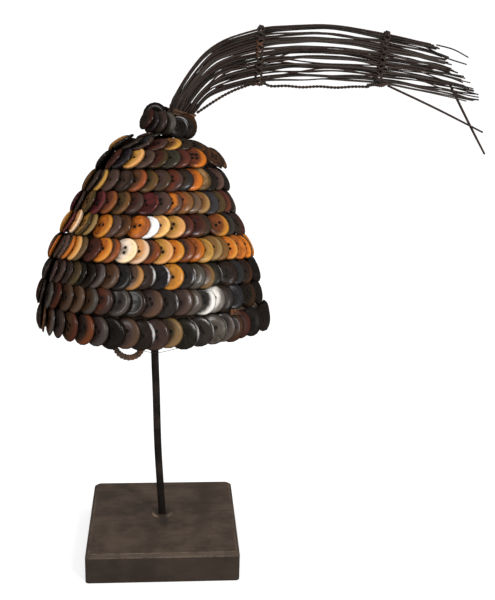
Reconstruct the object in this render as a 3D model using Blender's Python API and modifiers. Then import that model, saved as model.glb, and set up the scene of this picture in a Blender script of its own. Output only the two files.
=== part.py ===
"""Conical cap covered with shingled buttons, with a bristle plume, on a rod and block stand.

Metres, +Z up. The origin is the middle of the stand block's underside. The plume points
to +X, and the cap leans back towards +Y.
"""

import math

import bmesh
import bpy
from mathutils import Matrix, Vector

# Stand
BLOCK_SIDE = 0.140
BLOCK_HEIGHT = 0.0285
BLOCK_CHAMFER = 0.003
BLOCK_CORNER = 0.003
ROD_DIAMETER = 0.007
ROD_SOCKET_DEPTH = 0.016
ROD_FOOT = (-0.0010, 0.0055)

# Gaps between pieces
SEAT_GAP = 0.0003
ROW_GAP = 0.0005
RIM_ROW_GAP = 0.0025
CROWN_CLEARANCE = 0.0042
PAD_CLEARANCE = 0.0010

# Points of a fused piece that lie this close are one point
WELD = 0.00001

# Cap and its buttons
RIM_WIDTH = 0.1974
RIM_HEIGHT = 0.2249
RIM_CENTRE_Y = -0.0264
CAP_LEAN = math.radians(12.9)
CROWN_SLOPE = math.radians(72.0)
CROWN_TOP_SLOPE = math.radians(84.0)
BUTTON_DIAMETER = 0.0200
RIM_BUTTON_DIAMETER = 0.0232
BUTTON_THICKNESS = 0.0022
SHELL_WALL = 0.0025
SHELL_SEGMENTS = 22
BUTTON_SIDES = 10
BUTTON_EDGE_TAPER = 0.94
ROW_FLARE = math.radians(8.0)
SHINGLE_FUSE = 0.82
BACK_SHARE = 0.80

# Pad on the rod's head, inside the crown
PAD_HEIGHT = 0.010

# Topknot: a leaning ring of oblique buttons round the root of the plume. Its place and the
# root's go by the buttons, which have to clear each other there.
TOPKNOT_COUNT = 11
TOPKNOT_BUTTON = BUTTON_DIAMETER * 0.950
TOPKNOT_RADIUS = BUTTON_DIAMETER * 0.950
TOPKNOT_TWIST = math.radians(24.0)
TOPKNOT_TURN = math.radians(-55.0)
TOPKNOT_SLOPE = math.radians(8.0)
TOPKNOT_LEAN = math.radians(20.0)
TOPKNOT_SHIFT = BUTTON_DIAMETER * 0.210
TOPKNOT_LIFT = BUTTON_DIAMETER * 0.805

# Plume, with its root binding and the stem that stands on the crown
PLUME_REACH = 0.250
PLUME_SHIFT = BUTTON_DIAMETER * 0.770
PLUME_BACK = BUTTON_DIAMETER * 0.080
PLUME_LIFT = BUTTON_DIAMETER * 1.425
PLUME_THICKNESS = 0.0046
PLUME_LOCK_STEP = 0.0006
PLUME_LOCK_OVERLAP = 0.10
PLUME_ROOT_LEAN = math.radians(20.7)
BINDING_WIDTH = BUTTON_DIAMETER * 1.200
BINDING_THICKNESS = 0.0088
BINDING_HEIGHT = 0.0060
ROOT_SHARE = 0.956
STEM_FOOT_WIDTH = 0.0080
STEM_TOP_WIDTH = BUTTON_DIAMETER * 0.750
STEM_SIDES = 10

# Ties and twisted cords of the plume
TIE_WALL = 0.0018
TIE_HEIGHT = 0.0085
TIE_SLACK = 0.0022
CORD_DIAMETER = 0.0020
CORD_BACK = 0.0015
CORD_START = (0.533, -0.158)

# Chin strap
STRAP_DIAMETER = 0.0050

# Rows of buttons from the rim to the crown's edge. width: the row's half width, from that of
# the crown's edge at 0 to that of the rim at 1. shift: how far the row's middle lies along X,
# as a share of half the rim's width. depth: the oval's depth for its width. pitch: from one
# button to the next, as a share of their diameter. span: share of the oval that they cover,
# about its side at -X.
ROW_COLUMNS = ("width", "shift", "depth", "pitch", "span", "finish")
ROW_TABLE = (
    (1.000, -0.075, 0.880, 0.629, 1.0, "dark_buttons"),
    (0.933, -0.114, 0.890, 0.654, 1.0, "slate_buttons"),
    (0.875, -0.095, 0.900, 0.633, 1.0, "dark_buttons"),
    (0.772, -0.106, 0.910, 0.592, 1.0, "amber_buttons"),
    (0.614, -0.091, 0.920, 0.553, 1.0, "tan_buttons"),
    (0.489, -0.091, 0.930, 0.553, 1.0, "plum_buttons"),
    (0.349, -0.068, 0.940, 0.545, 1.0, "brown_buttons"),
    (0.213, -0.024, 0.950, 0.555, 1.0, "plum_buttons"),
    (0.000, -0.015, 0.960, 0.580, 1.0, "brown_buttons"),
)

# The short row on the crown, whose buttons keep clear of the plume's stem
CROWN_ROW = (0.000, 0.020, 0.980, 0.406, 0.36, "dark_buttons")
OVAL_STEPS = 720

# Lower and upper edge of the plume at stations 1 to 9, as shares of its reach, measured
# from the middle of its root: out along +X, and up. Station 0 is the root itself, which
# fills ROOT_SHARE of the binding's width.
PLUME_COLUMNS = ("lower_out", "lower_up", "upper_out", "upper_up")
PLUME_TABLE = (
    (0.091, 0.018, -0.013, 0.096),
    (0.136, 0.050, 0.070, 0.190),
    (0.249, 0.096, 0.251, 0.268),
    (0.371, 0.106, 0.387, 0.283),
    (0.511, 0.111, 0.532, 0.280),
    (0.671, 0.104, 0.693, 0.257),
    (0.786, 0.086, 0.817, 0.236),
    (0.931, 0.064, 0.911, 0.208),
    (1.044, 0.042, 1.007, 0.166),
)

# Station at which each lock of the plume ends, lowest lock first
LOCK_ENDS = (9.0, 8.8, 8.5, 8.2, 8.3, 7.9)

# Ties round the plume: the station at which each sits
TIE_COLUMNS = ("name", "station")
TIE_TABLE = (
    ("plume_tie_inner", 3.12),
    ("plume_tie_outer", 6.03),
)

# The rod's middle line: height as a share of its rise, and how far it stands off the
# straight line from its foot to its head, as a share of its rise, along X.
ROD_COLUMNS = ("rise", "bow")
ROD_TABLE = (
    (0.000, 0.0000),
    (0.045, 0.0000),
    (0.120, -0.0050),
    (0.247, -0.0130),
    (0.389, -0.0180),
    (0.530, -0.0232),
    (0.670, -0.0222),
    (0.810, -0.0136),
    (0.930, -0.0040),
    (1.000, 0.0000),
)

# Points that the chin strap's middle line follows, chosen by hand: shares of the rim's
# width from its middle
STRAP_ROUTE = (
    (-0.4842, 0.0134, 0.0679), (-0.4698, -0.0547, 0.0684), (-0.4509, -0.1189, 0.0754),
    (-0.4142, -0.1841, 0.0856), (-0.3638, -0.2413, 0.0968), (-0.2952, -0.2925, 0.1079),
    (-0.2460, -0.3199, 0.1104), (-0.2148, -0.3429, 0.0983), (-0.1976, -0.3617, 0.0679),
    (-0.1748, -0.3734, 0.0395), (-0.1383, -0.3829, 0.0294), (-0.1038, -0.3871, 0.0426),
    (-0.0821, -0.3840, 0.0729), (-0.0613, -0.3729, 0.1054), (-0.0278, -0.3703, 0.1201),
    (0.0243, -0.3657, 0.1236), (0.0776, -0.3513, 0.1226), (0.1802, -0.3153, 0.1139),
    (0.2488, -0.2743, 0.1044), (0.3064, -0.2217, 0.0947), (0.3544, -0.1541, 0.0836),
    (0.3879, -0.0736, 0.0724), (0.4064, 0.0135, 0.0679),
)

# Points that the twisted cords below the plume follow, chosen by hand: shares of its reach
# out and up from the middle of its root. The root cord starts beside the binding, at
# CORD_START, which is in shares of the binding's width and height.
ROOT_CORD_ROUTE = (
    (0.0904, 0.0096), (0.1364, 0.0416), (0.1744, 0.0576), (0.2104, 0.0728), (0.2432, 0.0860),
)
SPAN_CORD_ROUTE = (
    (0.2864, 0.0928), (0.3184, 0.0848), (0.4304, 0.0816), (0.5424, 0.0836), (0.6536, 0.0872),
)

# Finishes: colour, roughness, metallic
FINISHES = {
    "dark_wood": ((0.030, 0.016, 0.010), 0.55, 0.0),
    "dark_steel": ((0.035, 0.030, 0.028), 0.45, 0.9),
    "pad_wood": ((0.160, 0.100, 0.055), 0.80, 0.0),
    "cap_fibre": ((0.110, 0.070, 0.035), 0.85, 0.0),
    "dark_buttons": ((0.030, 0.020, 0.018), 0.30, 0.0),
    "slate_buttons": ((0.085, 0.075, 0.072), 0.30, 0.0),
    "brown_buttons": ((0.120, 0.050, 0.022), 0.32, 0.0),
    "amber_buttons": ((0.480, 0.200, 0.050), 0.32, 0.0),
    "tan_buttons": ((0.420, 0.210, 0.085), 0.32, 0.0),
    "plum_buttons": ((0.100, 0.022, 0.024), 0.32, 0.0),
    "plume_bristle": ((0.018, 0.012, 0.009), 0.38, 0.0),
    "tie_fibre": ((0.050, 0.032, 0.020), 0.75, 0.0),
    "strap_fibre": ((0.130, 0.075, 0.040), 0.80, 0.0),
}


def clear_scene():
    """Remove whatever the file holds before the part is built."""
    for obj in list(bpy.data.objects):
        bpy.data.objects.remove(obj, do_unlink=True)


def make_materials():
    """One Principled material for each finish."""
    made = {}
    for name, (colour, roughness, metallic) in FINISHES.items():
        material = bpy.data.materials.new(name)
        material.use_nodes = True
        shader = material.node_tree.nodes["Principled BSDF"]
        shader.inputs["Base Color"].default_value = (*colour, 1.0)
        shader.inputs["Roughness"].default_value = roughness
        shader.inputs["Metallic"].default_value = metallic
        material.diffuse_color = (*colour, 1.0)
        made[name] = material
    return made


def make_collection(name):
    collection = bpy.data.collections.new(name)
    bpy.context.scene.collection.children.link(collection)
    return collection


def new_object(name, data, finish, parent=None):
    """Link an object to the part, with its finish and its parent."""
    obj = bpy.data.objects.new(name, data)
    PARTS.objects.link(obj)
    data.materials.append(MATERIALS[finish])
    obj.parent = parent
    return obj


def new_cutter(name, data):
    """Link an object that only cuts: shown as wire, and left out of the part."""
    obj = bpy.data.objects.new(name, data)
    CUTTERS.objects.link(obj)
    obj.hide_render = True
    obj.display_type = "WIRE"
    return obj


def new_mesh(name, shape, smooth_angle=35.0):
    """Turn a bmesh into mesh data, with its round stretches shaded smooth."""
    mesh = bpy.data.meshes.new(name)
    shape.normal_update()
    shape.to_mesh(mesh)
    shape.free()
    mesh.shade_smooth()
    mesh.set_sharp_from_angle(angle=math.radians(smooth_angle))
    return mesh


def smooth_points(points, count):
    """Read count points from a Catmull-Rom curve through the given ones."""
    given = [Vector(point) for point in points]
    ends = [2 * given[0] - given[1]] + given + [2 * given[-1] - given[-2]]
    spans = len(given) - 1
    result = []
    for index in range(count):
        place = spans * index / (count - 1)
        span = min(int(place), spans - 1)
        t = place - span
        a, b, c, d = ends[span:span + 4]
        result.append(0.5 * (2 * b + (c - a) * t + (2 * a - 5 * b + 4 * c - d) * t ** 2
                             + (3 * b - a - 3 * c + d) * t ** 3))
    return result


def tube(name, points, diameter, finish):
    """A round bar along points: a poly curve with a bevel and filled caps."""
    curve = bpy.data.curves.new(name, "CURVE")
    curve.dimensions = "3D"
    curve.bevel_depth = diameter / 2
    curve.bevel_resolution = 2
    curve.use_fill_caps = True
    spline = curve.splines.new("POLY")
    spline.points.add(len(points) - 1)
    for point, place in zip(spline.points, points):
        point.co = (*place, 1.0)
    return new_object(name, curve, finish)


def combine(obj, others, operation):
    """Union with, or difference from, other mesh objects, which are then removed.

    Points that lie together become one, and a sliver's hole that this leaves is closed.
    """
    for other in others:
        modifier = obj.modifiers.new(operation.lower(), "BOOLEAN")
        modifier.object = other
        modifier.operation = operation
    graph = bpy.context.evaluated_depsgraph_get()
    mesh = bpy.data.meshes.new_from_object(obj.evaluated_get(graph))
    shape = bmesh.new()
    shape.from_mesh(mesh)
    bmesh.ops.remove_doubles(shape, verts=shape.verts, dist=WELD)
    open_edges = [edge for edge in shape.edges if edge.is_boundary]
    if open_edges:
        bmesh.ops.holes_fill(shape, edges=open_edges, sides=4)
        bmesh.ops.recalc_face_normals(shape, faces=shape.faces)
    shape.to_mesh(mesh)
    shape.free()
    obj.modifiers.clear()
    obj.data = mesh
    for other in others:
        bpy.data.objects.remove(other, do_unlink=True)
    return obj


def oval_lengths(row):
    """Way run round the row's stretch of its oval at many even steps of angle.

    With it come the angle at which the stretch starts and one step.
    """
    low = math.pi * (1.0 - row["span"])
    turn = math.tau * row["span"] / OVAL_STEPS
    lengths = [0.0]
    for index in range(OVAL_STEPS):
        angle = low + turn * (index + 0.5)
        lengths.append(lengths[-1] + turn * math.hypot(row["half_width"] * math.sin(angle),
                                                       row["half_depth"] * math.cos(angle)))
    return lengths, low, turn


def cap_rows():
    """Work out each row: size, place and lean of its buttons on the cap's middle surface.

    A row lies one button and a gap up the cap's side from the row below it. Its slope there
    comes from the half widths of the two. The crown's row lies just clear of the stem, and
    the row at the crown's edge one step down the crown from it.
    """
    rows = [dict(zip(ROW_COLUMNS, values)) for values in ROW_TABLE + (CROWN_ROW,)]
    crown = (BUTTON_DIAMETER + STEM_FOOT_WIDTH) / 2 + CROWN_CLEARANCE
    edge = crown + (BUTTON_DIAMETER + ROW_GAP) * math.sin(CROWN_SLOPE)
    for index, row in enumerate(rows):
        row["diameter"] = BUTTON_DIAMETER if index else RIM_BUTTON_DIAMETER
        row["half_width"] = edge + row["width"] * (RIM_WIDTH / 2 - edge)
    rows[-1]["half_width"] = crown
    for row in rows:
        row["half_depth"] = row["half_width"] * row["depth"]
        row["centre"] = row["shift"] * RIM_WIDTH / 2
        row["count"] = round(oval_lengths(row)[0][-1] / (row["pitch"] * row["diameter"]))
    gap = RIM_ROW_GAP
    for low, high in zip(rows, rows[1:]):
        low["step"] = (low["diameter"] + high["diameter"]) / 2 + gap
        low["slope"] = math.asin((low["half_width"] - high["half_width"]) / low["step"])
        gap = ROW_GAP
    rows[-1]["slope"] = CROWN_TOP_SLOPE
    below = rows[0]
    height = RIM_BUTTON_DIAMETER / 2 * math.cos(below["slope"])
    for row in rows:
        if row is not below:
            height += below["step"] * math.cos(below["slope"])
        row["lean"] = (below["slope"] + row["slope"]) / 2
        row["flare"] = ROW_FLARE * math.cos(row["lean"])
        row["height"] = height
        below = row
    return rows


def oval_places(row):
    """Angles of the row's buttons at even distances round its oval, and that distance."""
    lengths, low, turn = oval_lengths(row)
    pitch = lengths[-1] / row["count"]
    angles = []
    index = 0
    for number in range(row["count"]):
        wanted = pitch * (number + 0.5)
        while lengths[index + 1] < wanted:
            index += 1
        angles.append(low + turn * (index + 0.5))
    return angles, pitch


def row_twist(pitch):
    """Turn of each button that lays its leading edge over the next one."""
    return math.atan(SHINGLE_FUSE * BUTTON_THICKNESS / pitch)


def wall_depth(row, twist):
    """Depth of a ring's back wall below the buttons' middle: at their trailing edge."""
    return BUTTON_THICKNESS / 2 + row["diameter"] / 2 * math.sin(twist)


def shell_section(row):
    """Oval of the cap's outside just within a row: at the top edge of its back wall.

    The back wall runs straight between buttons, so it cuts inside the oval a little.
    """
    pitch = oval_places(row)[1]
    lean = row["lean"] + row["flare"]
    depth = wall_depth(row, row_twist(pitch)) + SEAT_GAP
    reach = row["diameter"] / 2 * BACK_SHARE
    inset = pitch ** 2 * row["half_width"] / (8 * row["half_depth"] ** 2)
    inward = depth * math.cos(lean) + reach * math.sin(lean) + inset
    return {
        "centre": row["centre"],
        "half_width": row["half_width"] - inward,
        "half_depth": row["half_depth"] - inward,
        "height": row["height"] + reach * math.cos(lean) - depth * math.sin(lean),
    }


def crown_section(row):
    """Oval of the cap's crown, under the flat row that lies on it."""
    tilt = math.hypot(math.sin(row_twist(oval_places(row)[1])), math.sin(row["flare"]))
    depth = BUTTON_THICKNESS / 2 + row["diameter"] / 2 * tilt + SEAT_GAP
    section = {key: row[key] for key in ("centre", "half_width", "half_depth")}
    section["height"] = row["height"] - depth * math.sin(row["lean"])
    return section


def shell_sections():
    """Ovals of the woven cap's outside, from its rim to its crown."""
    rows = cap_rows()
    sections = [shell_section(row) for row in rows[:-1]]
    low = dict(sections[0])
    outward = low["height"] * math.tan(rows[0]["slope"])
    low["half_width"] += outward
    low["half_depth"] += outward
    low["height"] = 0.0
    return [low] + sections + [crown_section(rows[-1])]


clear_scene()
MATERIALS = make_materials()
PARTS = make_collection("button_headdress_on_stand")
CUTTERS = make_collection("cutters")
ROWS = cap_rows()
SECTIONS = shell_sections()
CAP_PLACE = (Matrix.Translation((0.0, RIM_CENTRE_Y, RIM_HEIGHT))
             @ Matrix.Rotation(-CAP_LEAN, 4, "X"))
CROWN = Vector((SECTIONS[-1]["centre"], 0.0, SECTIONS[-1]["height"]))


def cap_frame():
    """Empty at the middle of the rim's plane, leaned back as the cap is."""
    frame = bpy.data.objects.new("cap_frame", None)
    frame.matrix_world = CAP_PLACE
    PARTS.objects.link(frame)
    return frame


CAP_FRAME = cap_frame()


def disc_place(point, tangent, slope, twist):
    """Place of a disc: its Z is its face, leaned up by slope, its leading edge turned out."""
    up = Vector((0.0, 0.0, 1.0))
    along = tangent.normalized()
    outward = along.cross(up)
    face = outward * math.cos(slope) + up * math.sin(slope)
    rise = up * math.cos(slope) - outward * math.sin(slope)
    across = along * math.cos(twist) + face * math.sin(twist)
    front = face * math.cos(twist) - along * math.sin(twist)
    return Matrix.Translation(point) @ Matrix((across, rise, front)).transposed().to_4x4()


def add_disc(shape, place, diameter):
    """One button in a bmesh: a short cone with a flat back and a slightly smaller face."""
    bmesh.ops.create_cone(
        shape, cap_ends=True, segments=BUTTON_SIDES, radius1=diameter / 2,
        radius2=diameter / 2 * BUTTON_EDGE_TAPER, depth=BUTTON_THICKNESS, matrix=place)


def disc_group(name, places, diameter, finish, parent):
    """An object that holds a disc at each place."""
    shape = bmesh.new()
    for place in places:
        add_disc(shape, place, diameter)
    return new_object(name, new_mesh(name, shape), finish, parent)


def row_point(row, angle):
    """Point of the row's oval at an angle, and the way round it there."""
    point = Vector((row["centre"] + row["half_width"] * math.cos(angle),
                    row["half_depth"] * math.sin(angle), row["height"]))
    tangent = Vector((-row["half_width"] * math.sin(angle),
                      row["half_depth"] * math.cos(angle), 0.0))
    return point, tangent


def on_disc(place, radius, degrees, depth):
    """Point of a disc at an angle round it, from its leading edge, and at a depth."""
    angle = math.radians(degrees)
    return place @ Vector((radius * math.cos(angle), radius * math.sin(angle), depth))


def drop_to(point, place, target):
    """Move a point against the face of one disc until it meets the face of another."""
    face = target.col[2].to_3d()
    on_face = target @ Vector((0.0, 0.0, BUTTON_THICKNESS / 2))
    way = place.col[2].to_3d()
    return point + way * ((on_face - point).dot(face) / way.dot(face))


def build_ring(name, row, twist, place=Matrix.Identity(4)):
    """Shingled buttons fused to one ring.

    Each button shows its face up to the round edge of the button before it, which stands
    one step above that face. The ring's back is a plain wall at the buttons' depth.
    """
    angles, pitch = oval_places(row)
    lean = row["lean"] + row["flare"]
    radius = row["diameter"] / 2
    crossing = math.degrees(math.acos(pitch / row["diameter"]))
    back = -wall_depth(row, twist)
    arc = (180.0 - crossing, 90.0, crossing, crossing / 3)
    shape = bmesh.new()
    discs = []
    faces = []
    backs = []
    for angle in angles:
        spot = row_point(row, angle)
        disc = place @ disc_place(*spot, lean, twist)
        wall = place @ disc_place(*spot, lean, 0.0)
        discs.append(disc)
        faces.append([[shape.verts.new(on_disc(disc, radius, sign * degrees,
                                               BUTTON_THICKNESS / 2)) for degrees in arc]
                      for sign in (1.0, -1.0)])
        backs.append([shape.verts.new(wall @ Vector((0.0, sign * radius * BACK_SHARE, back)))
                      for sign in (1.0, -1.0)])
    for index, (upper, lower) in enumerate(faces):
        after = (index + 1) % len(faces)
        next_upper, next_lower = faces[after]
        feet = [shape.verts.new(drop_to(vert.co, discs[index], discs[after]))
                for vert in (upper[3], lower[3])]
        here, there = backs[index], backs[after]
        shape.faces.new((upper[2], upper[3], feet[0], next_upper[0]))
        shape.faces.new((upper[3], lower[3], feet[1], feet[0]))
        shape.faces.new((lower[3], lower[2], next_lower[0], feet[1]))
        shape.faces.new((next_upper[0], feet[0], feet[1], *next_lower, *next_upper[:0:-1]))
        shape.faces.new((upper[1], upper[2], here[0]))
        shape.faces.new((upper[2], next_upper[0], there[0], here[0]))
        shape.faces.new((next_upper[0], next_upper[1], there[0]))
        shape.faces.new((lower[2], lower[1], here[1]))
        shape.faces.new((next_lower[0], lower[2], here[1], there[1]))
        shape.faces.new((next_lower[1], next_lower[0], there[1]))
        shape.faces.new((here[0], there[0], there[1], here[1]))
    new_object(name, new_mesh(name, shape), row["finish"], CAP_FRAME)


def build_crown_row(name, row):
    """The short row on the crown: overlapping buttons fused together.

    Neighbours go to different groups, so that no group crosses itself before the union.
    """
    angles, pitch = oval_places(row)
    places = [disc_place(*row_point(row, angle), row["lean"] + row["flare"],
                         row_twist(pitch)) for angle in angles]
    pieces = [disc_group(name, group, row["diameter"], row["finish"], CAP_FRAME)
              for group in (places[0::2], places[1::2])]
    combine(pieces[0], pieces[1:], "UNION")


def build_rows():
    """Rows that go all the way round, then the short row on the crown."""
    for number, row in enumerate(ROWS, start=1):
        name = f"button_row_{number:02d}"
        if row["span"] == 1.0:
            build_ring(name, row, row_twist(oval_places(row)[1]))
        else:
            build_crown_row(name, row)


def oval_verts(shape, section, segments):
    """Vertices of a level oval, from +X towards +Y."""
    return [
        shape.verts.new((section["centre"] + section["half_width"] * math.cos(angle),
                         section["half_depth"] * math.sin(angle), section["height"]))
        for angle in (math.tau * index / segments for index in range(segments))
    ]


def skin(shape, low, high):
    """Quads between two rings of vertices, facing out where low is below high."""
    for index in range(len(low)):
        after = (index + 1) % len(low)
        shape.faces.new((low[index], low[after], high[after], high[index]))


def build_shell():
    """Woven cap under the buttons: an open loft of ovals, thickened inwards."""
    shape = bmesh.new()
    rings = [oval_verts(shape, section, SHELL_SEGMENTS) for section in SECTIONS]
    for low, high in zip(rings, rings[1:]):
        skin(shape, low, high)
    shape.faces.new(rings[-1])
    shell = new_object("cap_shell", new_mesh("cap_shell", shape), "cap_fibre", CAP_FRAME)
    wall = shell.modifiers.new("wall", "SOLIDIFY")
    wall.thickness = SHELL_WALL
    wall.offset = -1.0
    wall.use_even_offset = True


def build_topknot():
    """Leaning ring of oblique buttons round the plume's stem."""
    ring = (Matrix.Translation(CROWN + Vector((TOPKNOT_SHIFT, 0.0, TOPKNOT_LIFT)))
            @ Matrix.Rotation(TOPKNOT_LEAN, 4, "Y") @ Matrix.Rotation(TOPKNOT_TURN, 4, "Z"))
    row = {"half_width": TOPKNOT_RADIUS, "half_depth": TOPKNOT_RADIUS, "centre": 0.0,
           "height": 0.0, "span": 1.0, "count": TOPKNOT_COUNT, "diameter": TOPKNOT_BUTTON,
           "lean": TOPKNOT_SLOPE, "flare": 0.0, "finish": "dark_buttons"}
    build_ring("topknot_ring", row, TOPKNOT_TWIST, ring)


def plume_root():
    """Middle of the plume's root in the world."""
    return CAP_PLACE @ CROWN + Vector((PLUME_SHIFT, PLUME_BACK, PLUME_LIFT))


def root_directions():
    """Unit vectors along the leaning root of the plume, and across it to its lower edge."""
    axis = Vector((math.sin(PLUME_ROOT_LEAN), 0.0, math.cos(PLUME_ROOT_LEAN)))
    return axis, Vector((axis.z, 0.0, -axis.x))


def plume_stations():
    """Lower and upper edge of the plume at each station, from its root to its tip."""
    root = plume_root()
    half = root_directions()[1] * BINDING_WIDTH / 2 * ROOT_SHARE
    stations = [(root + half, root - half)]
    for row in PLUME_TABLE:
        edge = {key: share * PLUME_REACH for key, share in zip(PLUME_COLUMNS, row)}
        stations.append((root + Vector((edge["lower_out"], 0.0, edge["lower_up"])),
                         root + Vector((edge["upper_out"], 0.0, edge["upper_up"]))))
    return stations


def plume_edge(station):
    """Lower and upper edge of the plume at a station, which need not be whole."""
    stations = plume_stations()
    index = min(int(station), len(stations) - 2)
    return [a.lerp(b, station - index) for a, b in zip(stations[index], stations[index + 1])]


def build_lock(number):
    """One flat lock of the plume: a bent strip, cut square across Y."""
    share = 1.0 / len(LOCK_ENDS)
    low_share = share * (number - PLUME_LOCK_OVERLAP) if number else 0.0
    high_share = min(share * (number + 1), 1.0)
    end = LOCK_ENDS[number]
    stations = [index for index in range(len(PLUME_TABLE) + 1) if index < end] + [end]
    edges = [plume_edge(station) for station in stations]
    lower = [low.lerp(high, low_share) for low, high in edges]
    upper = [low.lerp(high, high_share) for low, high in edges]
    half = PLUME_THICKNESS / 2 - PLUME_LOCK_STEP * (number % 2)
    shape = bmesh.new()
    outline = lower + upper[::-1]
    near = [shape.verts.new(point - Vector((0.0, half, 0.0))) for point in outline]
    far = [shape.verts.new(point + Vector((0.0, half, 0.0))) for point in outline]
    skin(shape, far, near)
    count = len(stations)
    for index in range(count - 1):
        top = 2 * count - 1 - index
        shape.faces.new((near[index], near[index + 1], near[top - 1], near[top]))
        shape.faces.new((far[top], far[top - 1], far[index + 1], far[index]))
    return new_object("lock", new_mesh("lock", shape), "plume_bristle")


def flat_oval(middle, across, along_y, half_width, half_thickness):
    """Points of an oval that lies across the stem."""
    angles = (math.tau * index / STEM_SIDES for index in range(STEM_SIDES))
    return [middle + across * half_width * math.cos(angle)
            + along_y * half_thickness * math.sin(angle) for angle in angles]


def loft(name, sections, finish):
    """Closed solid through sections of as many points each, lowest first."""
    shape = bmesh.new()
    rings = [[shape.verts.new(point) for point in section] for section in sections]
    for low, high in zip(rings, rings[1:]):
        skin(shape, low, high)
    shape.faces.new(rings[0][::-1])
    shape.faces.new(rings[-1])
    return new_object(name, new_mesh(name, shape), finish)


def build_plume():
    """Locks of bristle fused to the binding at their root and to the stem on the crown."""
    root = plume_root()
    axis, across = root_directions()
    back = Vector((0.0, 1.0, 0.0))
    half = axis * BINDING_HEIGHT / 2
    binding = loft("binding", [
        flat_oval(root + offset, across, back, BINDING_WIDTH / 2, BINDING_THICKNESS / 2)
        for offset in (-half, half)], "plume_bristle")
    turned = CAP_PLACE.to_3x3()
    foot = CAP_PLACE @ (CROWN + Vector((0.0, 0.0, SEAT_GAP)))
    stem_thickness = BINDING_THICKNESS * 0.45
    stem = loft("stem", [
        flat_oval(foot, turned.col[0], turned.col[1], STEM_FOOT_WIDTH / 2,
                  STEM_FOOT_WIDTH / 2),
        flat_oval(root - half / 3, across, back, STEM_TOP_WIDTH / 2, stem_thickness),
    ], "plume_bristle")
    locks = [build_lock(number) for number in range(len(LOCK_ENDS))]
    binding.name = "plume"
    combine(binding, [stem] + locks, "UNION")


def rounded_loop(half_width, half_height, corner):
    """Points of a rectangle with round corners, two points on each side of a corner."""
    points = []
    for quarter in range(4):
        sign_x = 1 if quarter in (0, 3) else -1
        sign_y = 1 if quarter in (0, 1) else -1
        for step in range(3):
            angle = math.pi / 2 * (quarter + step / 2)
            points.append((sign_x * (half_width - corner) + corner * math.cos(angle),
                           sign_y * (half_height - corner) + corner * math.sin(angle)))
    return points


def build_tie(name, station):
    """A loop round the plume: a flat outline with a hole, as thick as the tie is tall."""
    lower, upper = plume_edge(station)
    middle = (lower + upper) / 2
    reach = (upper - lower).length / 2 + TIE_SLACK
    curve = bpy.data.curves.new(name, "CURVE")
    curve.dimensions = "2D"
    curve.fill_mode = "BOTH"
    curve.extrude = TIE_HEIGHT / 2
    for wall in (TIE_WALL, 0.0):
        half_thickness = PLUME_THICKNESS / 2 + SEAT_GAP + wall
        loop = rounded_loop(half_thickness, reach + wall, half_thickness * 0.6)
        spline = curve.splines.new("POLY")
        spline.points.add(len(loop) - 1)
        for point, (across, up) in zip(spline.points, loop):
            point.co = (across, up, 0.0, 1.0)
        spline.use_cyclic_u = True
    tie = new_object(name, curve, "tie_fibre")
    tie.location = middle
    rise = (upper - lower).normalized()
    depth = Vector((0.0, 1.0, 0.0))
    tie.rotation_euler = Matrix((depth, rise, depth.cross(rise))).transposed().to_euler()


def cord_route(shares):
    """Points just behind the plume's middle plane, given as shares of its reach."""
    root = plume_root() + Vector((0.0, CORD_BACK, 0.0))
    return [root + PLUME_REACH * Vector((out, 0.0, up)) for out, up in shares]


def build_cords():
    """Twisted cords of the plume and the chin strap, whole along their routes."""
    axis, across = root_directions()
    start = (plume_root() + Vector((0.0, CORD_BACK, 0.0))
             + across * BINDING_WIDTH * CORD_START[0] + axis * BINDING_HEIGHT * CORD_START[1])
    root_route = [start] + cord_route(ROOT_CORD_ROUTE)
    tube("plume_cord_root", smooth_points(root_route, 9), CORD_DIAMETER, "tie_fibre")
    tube("plume_cord_span", smooth_points(cord_route(SPAN_CORD_ROUTE), 11), CORD_DIAMETER,
         "tie_fibre")
    rim = Vector((0.0, RIM_CENTRE_Y, RIM_HEIGHT))
    strap_route = [rim + RIM_WIDTH * Vector(share) for share in STRAP_ROUTE]
    tube("chin_strap", smooth_points(strap_route, 34), STRAP_DIAMETER, "strap_fibre")


def build_block():
    """Square block with chamfered top edges and a socket for the rod."""
    shape = bmesh.new()
    bmesh.ops.create_cube(shape, size=1.0)
    bmesh.ops.scale(shape, vec=(BLOCK_SIDE, BLOCK_SIDE, BLOCK_HEIGHT), verts=shape.verts)
    bmesh.ops.translate(shape, vec=(0.0, 0.0, BLOCK_HEIGHT / 2), verts=shape.verts)
    top = [edge for edge in shape.edges
           if min(vert.co.z for vert in edge.verts) > BLOCK_HEIGHT / 2]
    bmesh.ops.bevel(shape, geom=top, offset=BLOCK_CHAMFER, segments=1, affect="EDGES")
    corners = [edge for edge in shape.edges
               if all(abs(abs(vert.co.x) - abs(vert.co.y)) < 1e-6 for vert in edge.verts)
               and abs(edge.verts[0].co.z - edge.verts[1].co.z) > 1e-6]
    bmesh.ops.bevel(shape, geom=corners, offset=BLOCK_CORNER, segments=2, profile=0.5,
                    affect="EDGES")
    block = new_object("stand_block", new_mesh("stand_block", shape), "dark_wood")
    drill = bmesh.new()
    radius = ROD_DIAMETER / 2 + SEAT_GAP
    middle = BLOCK_HEIGHT - ROD_SOCKET_DEPTH / 2 + BLOCK_CHAMFER / 2
    bmesh.ops.create_cone(drill, cap_ends=True, segments=16, radius1=radius,
                          radius2=radius, depth=ROD_SOCKET_DEPTH + BLOCK_CHAMFER,
                          matrix=Matrix.Translation((*ROD_FOOT, middle)))
    combine(block, [new_cutter("rod_socket", new_mesh("rod_socket", drill))], "DIFFERENCE")


def pad_radius():
    """The pad stays inside the crown's oval by its clearance."""
    return SECTIONS[-1]["half_depth"] - PAD_CLEARANCE


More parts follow.
